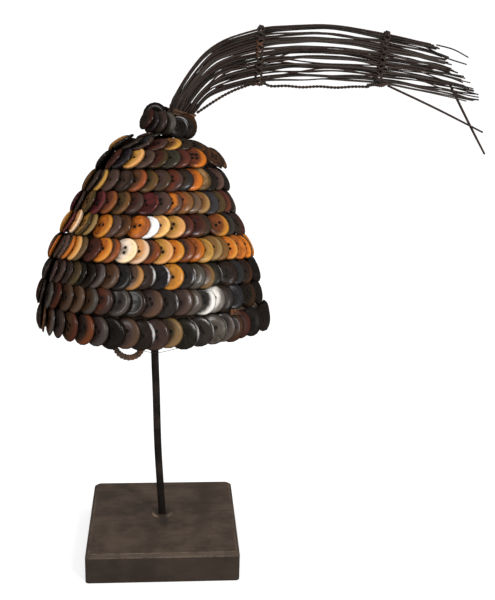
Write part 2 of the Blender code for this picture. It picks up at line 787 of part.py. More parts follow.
def pad_place():
    """Middle of the pad, in the cap's frame, just under the crown's inside."""
    inside = CROWN - Vector((0.0, 0.0, SHELL_WALL + SEAT_GAP))
    return inside - Vector((0.0, 0.0, PAD_HEIGHT / 2))


def build_pad():
    """Plain round pad on the rod's head, which carries the cap from inside its crown."""
    shape = bmesh.new()
    bmesh.ops.create_cone(shape, cap_ends=True, segments=20, radius1=pad_radius(),
                          radius2=pad_radius(), depth=PAD_HEIGHT,
                          matrix=Matrix.Translation(pad_place()))
    new_object("stand_pad", new_mesh("stand_pad", shape), "pad_wood", CAP_FRAME)


def build_rod():
    """Thin rod with a slight bow, from its socket in the block to the pad."""
    foot = Vector((*ROD_FOOT, BLOCK_HEIGHT - ROD_SOCKET_DEPTH + SEAT_GAP))
    underside = CAP_PLACE @ (pad_place() - Vector((0.0, 0.0, PAD_HEIGHT / 2)))
    head = underside - Vector((0.0, 0.0, SEAT_GAP + ROD_DIAMETER / 2 * math.tan(CAP_LEAN)))
    rise = head.z - foot.z
    points = []
    for share, bow in ROD_TABLE:
        straight = foot.lerp(head, max(share - ROD_TABLE[1][0], 0.0) / (1 - ROD_TABLE[1][0]))
        points.append(Vector((straight.x + bow * rise, straight.y, foot.z + share * rise)))
    tube("stand_rod", smooth_points(points, 18), ROD_DIAMETER, "dark_steel")


build_block()
build_rod()
build_pad()
build_shell()
build_rows()
build_topknot()
build_plume()
for tie_name, tie_station in TIE_TABLE:
    build_tie(tie_name, tie_station)
build_cords()
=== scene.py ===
import bpy
import numpy as np
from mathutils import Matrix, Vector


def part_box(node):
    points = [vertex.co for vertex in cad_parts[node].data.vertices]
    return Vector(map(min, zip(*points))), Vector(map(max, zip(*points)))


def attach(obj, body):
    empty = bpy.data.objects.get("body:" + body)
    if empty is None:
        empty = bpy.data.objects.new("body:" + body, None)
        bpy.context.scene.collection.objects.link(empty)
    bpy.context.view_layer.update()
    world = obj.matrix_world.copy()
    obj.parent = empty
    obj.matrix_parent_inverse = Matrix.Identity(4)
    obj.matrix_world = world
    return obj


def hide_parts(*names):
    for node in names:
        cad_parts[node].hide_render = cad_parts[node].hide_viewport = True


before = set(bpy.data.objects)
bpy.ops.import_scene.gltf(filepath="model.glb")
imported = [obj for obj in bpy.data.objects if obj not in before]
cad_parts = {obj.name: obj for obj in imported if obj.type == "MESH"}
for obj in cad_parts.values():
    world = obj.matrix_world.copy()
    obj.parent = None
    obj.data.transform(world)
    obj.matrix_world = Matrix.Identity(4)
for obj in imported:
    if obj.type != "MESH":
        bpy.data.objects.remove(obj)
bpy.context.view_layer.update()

RANDOM = np.random.default_rng(20)

# %% [markdown]
# ## The camera
# The object stands a little below eye level and was taken from its front with a long lens.
# A camera needs a place and three turns. Its matrix is written out from its three own
# directions, which are worked out from those turns, so nothing has to be aimed by hand.

# %% Matrices
def matrix_of(right, up, back, place):
    """A matrix whose columns are a thing's right, its up, its back and its place."""
    matrix = np.eye(4)
    matrix[:3] = np.column_stack([right, up, back, place])
    return matrix


def camera_matrix(place, yaw, pitch, roll):
    """The matrix of a camera with this place and these turns, in degrees.

    Forward is +Y turned by yaw towards +X, then down by pitch. Right is level, and down is
    forward cross right. Roll turns right and down in their own plane.
    """
    yaw, pitch, roll = np.radians([yaw, pitch, roll])
    forward = np.array([np.sin(yaw) * np.cos(pitch), np.cos(yaw) * np.cos(pitch),
                        -np.sin(pitch)])
    right = np.array([np.cos(yaw), -np.sin(yaw), 0.0])
    down = np.cross(forward, right)
    rolled_right = np.cos(roll) * right + np.sin(roll) * down
    rolled_down = -np.sin(roll) * right + np.cos(roll) * down
    return matrix_of(rolled_right, -rolled_down, -forward, place)


# %% Camera
def new_object(name, data):
    """An object that shows this data, put in the scene."""
    thing = bpy.data.objects.new(name, data)
    bpy.context.scene.collection.objects.link(thing)
    return thing


LENS, SENSOR = 60.0, 36.0
PICTURE_WIDTH, PICTURE_HEIGHT = 495, 600
CAMERA = camera_matrix((0.002, -0.864, 0.521), yaw=4.92, pitch=17.51, roll=-1.57)


def in_picture(points):
    """Places in the picture, in its pixels from the top left corner.

    A place is the picture's middle plus focal length * (right, down) / distance ahead.
    """
    local = (points - CAMERA[:3, 3]) @ CAMERA[:3, :3]
    focal = PICTURE_HEIGHT * LENS / SENSOR
    return np.stack([PICTURE_WIDTH / 2 - focal * local[..., 0] / local[..., 2],
                     PICTURE_HEIGHT / 2 + focal * local[..., 1] / local[..., 2]], axis=-1)


camera_data = bpy.data.cameras.new("camera")
camera_data.lens = LENS
camera_data.sensor_width = SENSOR
camera_data.clip_end = 200.0
camera = new_object("camera", camera_data)
camera.matrix_world = CAMERA.T
bpy.context.scene.camera = camera
print("camera at", tuple(round(value, 3) for value in camera.matrix_world.translation))

# %% [markdown]
# ## Meshes from arrays
# Every new piece is a surface worked out as whole arrays: first all its points, then the
# numbers of the points at the corners of each face. Blender takes both in one go, which is
# fast and leaves no half-made mesh behind.

# %% Mesh helpers
# a millimetre, and the two directions that most pieces share
MM = 0.001
BACKWARD, UP = np.array((0.0, 1.0, 0.0)), np.array((0.0, 0.0, 1.0))


def unit(vectors):
    """Each vector over its own length."""
    return vectors / np.linalg.norm(vectors, axis=-1, keepdims=True)


def new_piece(name, points, face_sets, material, **values):
    """An object at the origin from points and arrays of faces of 3, 4 or more corners.

    values are attributes by name: one number, or one colour of four numbers, for each point.
    """
    corners = np.concatenate([faces.ravel() for faces in face_sets])
    sizes = np.concatenate([np.full(len(faces), faces.shape[1]) for faces in face_sets])
    mesh = bpy.data.meshes.new(name)
    mesh.vertices.add(len(points))
    mesh.vertices.foreach_set("co", np.asarray(points, dtype=np.float32).ravel())
    mesh.loops.add(len(corners))
    mesh.loops.foreach_set("vertex_index", corners.astype(np.int32))
    mesh.polygons.add(len(sizes))
    mesh.polygons.foreach_set("loop_start", (np.cumsum(sizes) - sizes).astype(np.int32))
    mesh.update(calc_edges=True)
    mesh.shade_smooth()
    for key, value in values.items():
        value = np.asarray(value, dtype=np.float32)
        kind, field = ("FLOAT_COLOR", "color") if value.ndim == 2 else ("FLOAT", "value")
        mesh.attributes.new(key, kind, "POINT").data.foreach_set(field, value.ravel())
    mesh.materials.append(material)
    piece = new_object(name, mesh)
    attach(piece, "root")
    print(f"{name}: {len(points)} points, {(sizes - 2).sum()} triangles")
    return piece


def grid_faces(rows, columns, copies=1):
    """Quads of copies of a grid of points, numbered row by row, whose rows are rings."""
    row, column = np.meshgrid(np.arange(rows - 1), np.arange(columns), indexing="ij")
    after = (column + 1) % columns
    quads = np.stack([row * columns + column, row * columns + after,
                      (row + 1) * columns + after, (row + 1) * columns + column], axis=-1)
    shifts = np.arange(copies)[:, None, None] * rows * columns
    return (quads.reshape(-1, 4) + shifts).reshape(-1, 4)


def end_faces(rows, columns, copies=1):
    """The first ring's face, turned back, and the last ring's face, for each copy."""
    ring = np.arange(columns)
    shifts = np.arange(copies)[:, None] * rows * columns
    return [shifts + ring[::-1], shifts + ring + (rows - 1) * columns]


# %% [markdown]
# ## Bars along paths
# Straps, cords, bristles and threads are all a round bar that follows a line. A circle is
# set square to the line at each of its points. One array holds many bars at once.

# %% Paths and bars
def smooth_paths(points, count):
    """Catmull-Rom curves through points (..., given, 3), read at count even places."""
    points = np.asarray(points, dtype=float)
    first = 2 * points[..., :1, :] - points[..., 1:2, :]
    last = 2 * points[..., -1:, :] - points[..., -2:-1, :]
    ends = np.concatenate([first, points, last], axis=-2)
    spans = points.shape[-2] - 1
    place = np.linspace(0.0, spans, count)
    span = np.minimum(place.astype(int), spans - 1)
    t = (place - span)[:, None]
    a, b, c, d = (ends[..., span + shift, :] for shift in range(4))
    return 0.5 * (2 * b + (c - a) * t + (2 * a - 5 * b + 4 * c - d) * t ** 2
                  + (3 * b - a - 3 * c + d) * t ** 3)


def run_length(paths):
    """Distance along each path from its start to each of its points."""
    steps = np.linalg.norm(np.diff(paths, axis=-2), axis=-1)
    start = np.zeros((*paths.shape[:-2], 1))
    return np.concatenate([start, np.cumsum(steps, axis=-1)], axis=-1)


def path_frame(paths, side):
    """Across and up at each point: side made square to the path, and its third direction."""
    along = unit(np.gradient(paths, axis=-2))
    side = np.broadcast_to(side, along.shape)
    across = unit(side - (side * along).sum(-1, keepdims=True) * along)
    return across, np.cross(along, across)


def wound(line, across, up, wide, deep):
    """A line moved by across * wide + up * deep, with a number of each for every point."""
    return line + across * wide[..., None] + up * deep[..., None]


def bars(name, paths, side, radius, corners, material, **values):
    """Round bars: path + radius * (across * cos + up * sin), closed by a face at each end.

    radius and values have a number for each path, or for each point of each path.
    """
    paths = paths.reshape(-1, *paths.shape[-2:])
    copies, rows = paths.shape[:2]
    across, up = path_frame(paths, side)
    angle = 2 * np.pi * np.arange(corners)[:, None] / corners
    radius = np.broadcast_to(radius, (copies, rows))[..., None, None]
    ring = across[..., None, :] * np.cos(angle) + up[..., None, :] * np.sin(angle)
    points = paths[..., None, :] + radius * ring
    values = {key: np.repeat(np.broadcast_to(value, (copies, rows)).ravel(), corners)
              for key, value in values.items()}
    values["along"] = np.repeat(run_length(paths).ravel(), corners)
    return new_piece(name, points.reshape(-1, 3),
                     [grid_faces(rows, corners, copies=copies),
                      *end_faces(rows, corners, copies)], material, **values)


# %% [markdown]
# ## Shader maths
# A material's pattern is maths on sockets. The class below wraps a socket, so that an
# expression such as `1 - mask * 0.5` adds the Math nodes that work it out.

# %% Sockets as numbers
class Wire:
    """An output socket of a material. Operators on it add Math nodes."""

    def __init__(self, finish, socket):
        self.finish = finish
        self.socket = socket

    def maths(self, operation, *inputs):
        return self.finish.node("ShaderNodeMath", {"operation": operation}, inputs)

    def __add__(self, other):
        return self.maths("ADD", self, other)

    def __sub__(self, other):
        return self.maths("SUBTRACT", self, other)

    def __mul__(self, other):
        return self.maths("MULTIPLY", self, other)

    def __truediv__(self, other):
        return self.maths("DIVIDE", self, other)

    def __pow__(self, other):
        return self.maths("POWER", self, other)

    def __rsub__(self, other):
        return self.maths("SUBTRACT", other, self)

    __radd__ = __add__
    __rmul__ = __mul__

    def size(self):
        return self.maths("ABSOLUTE", self)

    def wave(self):
        return self.maths("SINE", self)

    def step(self, low, high):
        """Smooth step: 0 at low, 1 at high, which may be the smaller of the two."""
        return self.finish.node(
            "ShaderNodeMapRange", {"interpolation_type": "SMOOTHSTEP"},
            {"Value": self, "From Min": low, "From Max": high})


class Finish:
    """A material with one Principled shader, and the nodes that feed it."""

    def __init__(self, name, **constants):
        self.material = bpy.data.materials.new(name)
        self.material.use_nodes = True
        self.tree = self.material.node_tree
        self.shader = self.tree.nodes["Principled BSDF"]
        for socket, value in constants.items():
            self.shader.inputs[socket.replace("_", " ")].default_value = value

    def node(self, kind, settings=None, inputs=(), output=0):
        """A node of any kind: its settings are set first, then its sockets."""
        node = self.tree.nodes.new(kind)
        for key, value in (settings or {}).items():
            setattr(node, key, value)
        pairs = inputs.items() if isinstance(inputs, dict) else enumerate(inputs)
        for key, value in pairs:
            self.join(value, node.inputs[key])
        return Wire(self, node.outputs[output])

    def join(self, value, socket):
        if isinstance(value, Wire):
            self.tree.links.new(value.socket, socket)
        else:
            socket.default_value = value

    def feed(self, **sockets):
        for name, value in sockets.items():
            self.join(value, self.shader.inputs[name.replace("_", " ")])
        return self.material

    def place(self):
        return self.node("ShaderNodeTexCoord", output="Object")

    def value(self, name, output="Fac"):
        """A number (Fac), colour or vector that the piece's mesh carries by name."""
        return self.node("ShaderNodeAttribute", {"attribute_name": name}, output=output)

    def split(self, vector):
        parts = self.node("ShaderNodeSeparateXYZ", inputs=(vector,))
        return [Wire(self, socket) for socket in parts.socket.node.outputs]

    def point(self, x, y, z):
        return self.node("ShaderNodeCombineXYZ", inputs=(x, y, z))

    def stretch(self, vector, scale):
        return self.node("ShaderNodeVectorMath", {"operation": "MULTIPLY"}, (vector, scale))

    def noise(self, where, scale, detail=3.0, rough=0.55, distort=0.0):
        return self.node("ShaderNodeTexNoise", {}, {
            "Vector": where, "Scale": scale, "Detail": detail, "Roughness": rough,
            "Distortion": distort})

    def mix(self, factor, first, second):
        """Mix two colours, given as three numbers or as links."""
        first, second = (colour if isinstance(colour, Wire) else (*colour, 1.0)
                         for colour in (first, second))
        return self.node("ShaderNodeMix", {"data_type": "RGBA"},
                         {0: factor, 6: first, 7: second}, output=2)

    def bump(self, height, distance, strength):
        return self.node("ShaderNodeBump", {}, {
            "Height": height, "Distance": distance, "Strength": strength})


# %% [markdown]
# ## The chin strap
# The strap is a thin three-strand plait of plant fibre that hangs inside the rim, and one
# short loop of it shows under the rim at the front. Each strand swings from side to side
# while it dips and rises twice as fast, a third of a turn behind the one before it. A flat
# band with the plait in its material would be lighter, but its edge would look smooth.

# %% Plait of three strands
def fibre_finish(name, dark, light, rust):
    """Twisted plant fibre: slanting streaks along the strand, and rusty patches."""
    finish = Finish(name)
    place = finish.place()
    along = finish.value("along")
    streaks = finish.noise(place, 900.0, 4.0, 0.6)
    patches = finish.noise(place, 60.0, 2.0).step(0.52, 0.68)
    twist = (along * 2600.0 + finish.noise(place, 300.0) * 6.0).wave()
    colour = finish.mix(streaks.step(0.35, 0.7), dark, light)
    colour = finish.mix(patches * 0.7, colour, rust)
    height = streaks * 0.6 + twist * 0.2
    return finish.feed(Base_Color=colour, Roughness=0.75 + streaks * 0.15,
                       Normal=finish.bump(height, 0.0003, 0.9))


STRAP_ROUTE = (
    (-0.0956, -0.0238, 0.2383), (-0.0927, -0.0372, 0.2384), (-0.0890, -0.0499, 0.2398),
    (-0.0818, -0.0627, 0.2418), (-0.0718, -0.0740, 0.2440), (-0.0583, -0.0841, 0.2462),
    (-0.0486, -0.0895, 0.2467), (-0.0424, -0.0941, 0.2443), (-0.0390, -0.0978, 0.2383),
    (-0.0345, -0.1001, 0.2327), (-0.0273, -0.1020, 0.2307), (-0.0205, -0.1028, 0.2333),
    (-0.0162, -0.1022, 0.2393), (-0.0121, -0.1000, 0.2457), (-0.0055, -0.0995, 0.2486),
    (0.0048, -0.0986, 0.2493), (0.0153, -0.0958, 0.2491), (0.0356, -0.0886, 0.2474),
    (0.0491, -0.0805, 0.2455), (0.0605, -0.0702, 0.2436), (0.0700, -0.0568, 0.2414),
    (0.0766, -0.0409, 0.2392), (0.0802, -0.0237, 0.2383),
)


def plait(path, side, swing, dip, pitch):
    """Three strands: across * swing * sin(turn) + up * dip * sin(2 * turn)."""
    lag = 2 * np.pi * np.arange(3)[:, None] / 3
    turn = 2 * np.pi * run_length(path) / pitch + lag
    return wound(path, *path_frame(path, side), swing * np.sin(turn), dip * np.sin(2 * turn))


strap_line = smooth_paths(STRAP_ROUTE, 361)
strap_fibre = fibre_finish("strap_fibre_plait", (0.026, 0.016, 0.010),
                           (0.110, 0.066, 0.040), (0.150, 0.052, 0.020))
strap = bars("chin_strap_plait", plait(strap_line, UP, swing=0.0016, dip=0.0007, pitch=0.0085),
             UP, radius=0.00105, corners=8, material=strap_fibre)
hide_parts("chin_strap")
smooth_paths(STRAP_ROUTE, 67).tolist()

# %% [markdown]
# ## Where the cap's rows lie
# The cap leans back. Its rows of buttons go from the rim to the crown, and each row is an
# oval. A row's buttons are a little larger than the way to the next row, so each row's lower
# edge hangs over the tops of the row below it, as the courses of a slate roof do. One table
# holds every row, so that the buttons and the cap under them can't come apart.

# %% Rows of the cap
RIM_HEIGHT, RIM_CENTRE_Y = 0.2249, -0.0264
CAP_LEAN = np.radians(12.9)
ROW_UNITS = np.array((MM, MM, MM, 1.0, MM, MM, MM))
ROW_TABLE = ROW_UNITS * [
    # millimetres: diameter, half width, middle along X, depth for width, height, and how far
    # the left and right ends of the row lift above its front
    (26.0, 100.2, -7.4, 0.870, 8.7, 9.0, 8.6),
    (24.6, 96.2, -11.4, 0.885, 34.0, 5.2, 5.2),
    (22.6, 92.2, -9.4, 0.895, 54.6, 3.0, 3.4),
    (22.6, 85.6, -10.3, 0.905, 74.9, 3.4, 3.8),
    (22.5, 76.0, -8.6, 0.915, 94.2, 4.0, 4.2),
    (22.6, 68.0, -8.5, 0.925, 113.6, 1.2, 3.8),
    (22.5, 59.9, -6.0, 0.935, 132.4, 0.6, 4.0),
    (22.9, 51.6, -1.4, 0.940, 150.4, 1.4, 4.2),
    (21.6, 38.0, -1.5, 0.960, 163.6, 2.7, -0.6),
    (20.0, 18.2, 2.0, 0.980, 171.8, 0.0, 0.0)]
SIZE, HALF_WIDTH, CENTRE, DEPTH_SHARE, HEIGHT, LIFT_LEFT, LIFT_RIGHT = ROW_TABLE.T
HALF_DEPTH = HALF_WIDTH * DEPTH_SHARE
# how far the cap's side leans in above each row, and from that, how far its buttons do: the
# two lowest rows hang more upright, and each button's lower edge flares out a little
SLOPE = np.append(np.arctan2(-np.diff(HALF_WIDTH), np.diff(HEIGHT)), np.radians(84.0))
LEAN = (SLOPE + np.append(SLOPE[0], SLOPE[:-1])) / 2
LEAN[:2] -= np.radians((10.0, 3.0))
FLARE = np.radians(6.5) * np.cos(LEAN)


# %% Ovals of the rows
def lifted(left, right, cosine):
    """Lift of an oval's ends: left * cosine squared, or right * cosine to the power 1.3."""
    return left * np.minimum(cosine, 0.0) ** 2 + right * np.maximum(cosine, 0.0) ** 1.3


def on_cap(points):
    """Points of the cap's own frame in the world: leaned back about X, then lifted."""
    x, y, z = np.moveaxis(np.asarray(points, dtype=float), -1, 0)
    cos, sin = np.cos(CAP_LEAN), np.sin(CAP_LEAN)
    return np.stack([x, RIM_CENTRE_Y + y * cos + z * sin,
                     RIM_HEIGHT - y * sin + z * cos], axis=-1)


def row_places(row, angle, inward=0.0):
    """Points of a row's oval, (a * cos, b * sin), and the way round it there.

    a and b are the row's half width and half depth, less the way inward.
    """
    width, depth = HALF_WIDTH[row] - inward, HALF_DEPTH[row] - inward
    lift = lifted(LIFT_LEFT[row], LIFT_RIGHT[row], np.cos(angle))
    point = np.stack([CENTRE[row] + width * np.cos(angle), depth * np.sin(angle),
                      HEIGHT[row] + lift], axis=-1)
    return point, unit(np.stack([-width * np.sin(angle), depth * np.cos(angle),
                                 np.zeros_like(angle)], axis=-1))


print("rows lean", np.round(np.degrees(LEAN)))

# %% [markdown]
# ## Buttons
# The buttons are old turned ones of horn, nut, shell and bone, sewn on like roof slates, each
# over its right-hand neighbour. A button is a profile turned round its middle: four rings of
# points from the edge of its back, over its rim, into its dish. There are hundreds, so each
# has only a few dozen faces, and holes, turning lines, worn rims, painted highlights and
# painted shade come from its material.

# %% Shape of a button
SEGMENTS = 18
PROFILES = {
    # kind: (share of the radius, share of the thickness) for each ring, back first
    "rimmed": ((0.92, -0.50), (1.00, -0.15), (0.87, 0.42), (0.62, 0.14)),
    "round": ((0.90, -0.50), (1.00, -0.20), (0.82, 0.36), (0.50, 0.44)),
    "flat": ((0.94, -0.50), (1.00, -0.08), (0.91, 0.38), (0.60, 0.40)),
}
PROFILE_TABLE = np.array(list(PROFILES.values()))
PROFILE_NAMES = list(PROFILES)


# %% Turned discs
def disc_axes(along, slope, twist):
    """Across, rise and face of discs.

    A disc faces outward, which is along cross up, leaned up by slope. Then its leading
    edge is turned out by twist.
    """
    outward = unit(np.cross(along, UP))
    cos, sin = np.cos(slope)[:, None], np.sin(slope)[:, None]
    face = outward * cos + UP * sin
    rise = UP * cos - outward * sin
    cos, sin = np.cos(twist)[:, None], np.sin(twist)[:, None]
    return along * cos + face * sin, rise, face * cos - along * sin


def turned_buttons(middle, axes, radius, thick, kind):
    """Points (buttons, rings, segments, 3): middle + radius share of the profile, turned."""
    across, rise, front = (axis[:, None, None] for axis in axes)
    angle = 2 * np.pi * np.arange(SEGMENTS)[:, None] / SEGMENTS
    profile = PROFILE_TABLE[kind]
    reach = (profile[..., 0] * radius[:, None])[..., None, None]
    lift = (profile[..., 1] * thick[:, None])[..., None, None]
    return (middle[:, None, None] + (across * np.cos(angle) + rise * np.sin(angle)) * reach
            + front * lift)


# %% [markdown]
# Each button carries its own colours as attributes: its body, a second colour for its grain,
# and one for its rim's crescent, which is partly a colour of the button and partly a painted
# highlight. The body's fourth number is where the rim's crescent starts, and the rim's is how
# much of it shows. Four more numbers say where its holes lie, how rough it is, and its own
# luck.

# %% Finish words of the buttons
WORDS = {
    # word: (body, grain, roughness, profile)
    "black": ((.012, .009, .007), (.022, .016, .012), .22, "rimmed"),
    "dark": ((.024, .015, .010), (.038, .024, .016), .28, "round"),
    "navy": ((.020, .018, .019), (.032, .027, .026), .20, "rimmed"),
    "green": ((.019, .017, .011), (.031, .026, .016), .22, "round"),
    "brown": ((.072, .030, .012), (.034, .016, .008), .30, "round"),
    "olive": ((.056, .034, .013), (.028, .018, .009), .32, "round"),
    "umber": ((.120, .068, .042), (.060, .034, .022), .28, "round"),
    "redbrown": ((.100, .026, .012), (.044, .014, .008), .28, "round"),
    "maroon": ((.056, .016, .010), (.027, .010, .007), .28, "round"),
    "plum": ((.085, .016, .016), (.036, .010, .009), .28, "rimmed"),
    "red": ((.360, .075, .052), (.150, .034, .024), .26, "round"),
    "mauve": ((.056, .031, .024), (.032, .019, .015), .26, "round"),
    "bronze": ((.140, .062, .018), (.052, .024, .009), .26, "round"),
    "brass": ((.260, .150, .055), (.110, .062, .024), .26, "round"),
    "slate": ((.036, .030, .026), (.021, .017, .015), .18, "rimmed"),
    "silver": ((.520, .480, .450), (.200, .180, .165), .20, "round"),
    "grey": ((.100, .082, .066), (.048, .039, .031), .24, "round"),
    "amber": ((.560, .215, .026), (.340, .110, .013), .34, "flat"),
    "orange": ((.430, .115, .010), (.220, .052, .006), .32, "round"),
    "rust": ((.210, .056, .014), (.095, .027, .009), .30, "round"),
    "tan": ((.600, .290, .090), (.400, .170, .048), .36, "flat"),
    "ochre": ((.420, .215, .036), (.230, .105, .018), .32, "flat"),
    "cream": ((.760, .550, .330), (.560, .360, .190), .38, "flat"),
    "white": ((.930, .895, .860), (.640, .590, .550), .30, "flat"),
    "ivory": ((.720, .590, .480), (.520, .400, .310), .36, "flat"),
}
WORD_NAMES = list(WORDS)
BODY = np.array([word[0] for word in WORDS.values()])
GRAIN = np.array([word[1] for word in WORDS.values()])
POLISH = np.array([word[2] for word in WORDS.values()])
KIND = np.array([PROFILE_NAMES.index(word[3]) for word in WORDS.values()])
# a hole's place across and up as shares of the radius: four holes, or twice as often two
HOLES = np.array([(0.17, 0.17), (0.20, 0.0), (0.20, 0.0)])
# slim crescents at the upper right; the first rim named here is a painted glint, of the colour
# below
THIN_RIMS = ("silver", "red")
PAINTED_GLINT_COLOUR = (0.70, 0.67, 0.64)


# %% Words into numbers
def numbered(words):
    """Two numbers for each word of a line: its body, and its rim, named after a colon."""
    pairs = [word.partition(":")[::2] for word in words.split()]
    return np.array([(WORD_NAMES.index(body), WORD_NAMES.index(rim or body))
                     for body, rim in pairs])


def button_values(words, shade):
    """Attributes of buttons with these words, each one a little off its word's colour.

    A rim's crescent has the colour of its own word, partly the button's and partly a painted
    highlight; where it has none, it is a brighter edge of the body, a painted highlight.
    """
    count = len(words)
    body, rim = words.T
    shade = shade * RANDOM.uniform(0.80, 1.18, (count, 1))
    hue = RANDOM.uniform(0.95, 1.05, (count, 3))
    named = (body != rim)[:, None]
    # the crescent's colour: a named rim's word, or the body twice as bright as a painted
    # highlight; painted glints get their own pale colour
    pale = BODY[rim] * np.where(named, 1.0, 2.0) * shade
    pale[rim == WORD_NAMES.index("silver")] = PAINTED_GLINT_COLOUR
    # how strongly an unnamed rim shows: partly worn, partly a painted highlight
    rim_worn_and_highlight = RANDOM.uniform(0.0, 1.0, (count, 1))
    thin = np.isin(rim, [WORD_NAMES.index(word) for word in THIN_RIMS])[:, None] & named
    start = np.where(thin, RANDOM.uniform(1.20, 1.33, (count, 1)),
                     RANDOM.uniform(0.72, 0.90, (count, 1)))
    form = np.column_stack([HOLES[RANDOM.integers(0, 3, count)],
                            POLISH[body] * RANDOM.uniform(0.75, 1.25, count),
                            RANDOM.uniform(0.0, 1.0, count)])
    return {"body": np.hstack([np.clip(BODY[body] * shade * hue, 0.003, 0.94), start]),
            "grain": np.hstack([np.clip(GRAIN[body] * shade * hue, 0.003, 0.90),
                                np.ones((count, 1))]),
            "rim": np.hstack([np.clip(pale * hue, 0.003, 0.94),
                              np.where(named, 0.92, 0.25 + 0.55 * rim_worn_and_highlight)]),
            "form": form}


# %% [markdown]
# On the real buttons the rim shows as a crescent at the right of each face, where it is worn
# and lit. Here that crescent is painted: partly the button's own colour, partly a painted
# highlight. It is what lies outside a circle set off to the left. That circle is larger and
# lower for a thin rim, so its crescent is slim and sits at the upper right, where the painted
# glints lie.

# %% Crescent of a button
def crescent_mask(finish, x, y, streaks):
    """1 outside a circle round (-left, above), whose edge is soft and follows the streaks.

    A crescent that starts past the button's own radius is a thin rim's.
    """
    left, above, drop = 0.42, 0.16, 0.24
    start = finish.value("body", "Alpha")
    thin = start.step(1.0, 1.1)
    offset = ((x + left) ** 2 + (y - above + thin * drop) ** 2) ** 0.5
    return (offset + (streaks - 0.5) * 0.25).step(start, start * 0.5 + 0.78)


# %% Button finish
FACE_MAP = "button_face"
QUARTER_TURN = 1.5708


def button_finish():
    """Turned horn and nut: clouded grain, a crescent of rim colour and painted highlight, painted
    shade on the left, a painted shadow at the edge, and holes painted dark as painted shade.
    """
    finish = Finish("turned_buttons", Coat_Weight=0.22, Coat_Roughness=0.12,
                    Specular_IOR_Level=0.22)
    x, y, _ = finish.split(finish.node("ShaderNodeUVMap", {"uv_map": FACE_MAP}))
    x, y = x * 2 - 1, y * 2 - 1
    body, grain = finish.value("body", "Color"), finish.value("grain", "Color")
    rim, ringed = finish.value("rim", "Color"), finish.value("rim", "Alpha")
    hole_x, hole_y, polish = finish.split(finish.value("form", "Vector"))
    luck = finish.value("form", "Alpha")
    # grain and holes are turned by each button's luck
    spin = luck * 44
    cosine, sine = spin.wave(), (spin + QUARTER_TURN).wave()
    turned_x, turned_y = x * cosine - y * sine, x * sine + y * cosine
    reach = (x ** 2 + y ** 2) ** 0.5
    streaks = finish.noise(finish.point(turned_x, turned_y * 0.4, luck * 40),
                           2.6, 5.0, 0.62, 0.6)
    cloud = finish.noise(finish.point(x, y, luck * 70 + 9), 1.1, 2.0)
    colour = finish.mix(streaks.step(0.42, 0.70), body, grain)
    colour = finish.mix(cloud.step(0.48, 0.72) * 0.6, colour, grain)
    # the rim's crescent at the right: partly the rim's own worn colour, partly a painted
    # highlight
    colour = finish.mix(crescent_mask(finish, x, y, streaks) * ringed, colour, rim)
    # painted shade: the left part of each face is darkened
    colour = finish.mix((1 - x.step(-0.75, 0.30)) * 0.45, colour, (0.008, 0.005, 0.004))
    lip = (1 - (reach - 0.70).size().step(0.01, 0.08)) * streaks.step(0.35, 0.65)
    colour = finish.mix(lip * 0.30, colour, (0.010, 0.006, 0.004))
    # painted shadow: a dark edge all round each button, where it meets its neighbours
    edge_shadow = reach.step(0.90, 0.99)
    colour = finish.mix(edge_shadow * 0.72, colour, (0.007, 0.004, 0.003))
    away = ((turned_x.size() - hole_x) ** 2 + (turned_y.size() - hole_y) ** 2) ** 0.5
    # the holes are not cut in the mesh: they are painted near black, a painted shade of their
    # depth
    hole = 1 - away.step(0.095, 0.150)
    colour = finish.mix(hole * 0.98, colour, (0.003, 0.002, 0.001))
    middle = 1 - reach.step(0.15, 0.48)
    colour = finish.mix(middle * cloud.step(0.35, 0.55) * 0.55, colour, (0.010, 0.006, 0.004))
    rough = polish + streaks * 0.16 + lip * 0.15 + hole * 0.4 - 0.06
    height = (reach * 80.0).wave() * 0.02 + streaks * 0.14 - hole * 1.5 + cloud * 0.16
    return finish.feed(Base_Color=colour, Roughness=rough,
                       Normal=finish.bump(height, 0.0005, 0.5))


BUTTON_FINISH = button_finish()


# %% [markdown]
# A row could be forty objects that share one mesh, but each button needs its own colours and
# the list of pieces should stay short. So a row is one mesh, and a UV map lays each face in
# the same square, on which the finish draws the holes and the crescent.

# %% Joined buttons
def button_piece(name, middle, axes, radius, thick, words, shade=1.0, place=on_cap):
    """Buttons joined in one mesh, with a UV map that lays each one's face in a square.

    place turns points of the frame that the buttons are given in into points of the world.
    """
    kind = KIND[words[:, 0]]
    points = turned_buttons(middle, axes, radius, thick, kind)
    count, rings = points.shape[:2]
    values = {key: np.repeat(value, rings * SEGMENTS, axis=0)
              for key, value in button_values(words, shade).items()}
    piece = new_piece(name, place(points).reshape(-1, 3),
                      [grid_faces(rings, SEGMENTS, copies=count),
                       *end_faces(rings, SEGMENTS, count)], BUTTON_FINISH, **values)
    angle = 2 * np.pi * np.arange(SEGMENTS) / SEGMENTS
    reach = PROFILE_TABLE[kind][..., 0][..., None]
    flat = 0.5 + 0.5 * np.stack([reach * np.cos(angle), reach * np.sin(angle)], axis=-1)
    corners = np.empty(len(piece.data.loops), dtype=np.int32)
    piece.data.loops.foreach_get("vertex_index", corners)
    layer = piece.data.uv_layers.new(name=FACE_MAP)
    layer.data.foreach_set("uv", flat.reshape(-1, 2)[corners].astype(np.float32).ravel())
    return piece
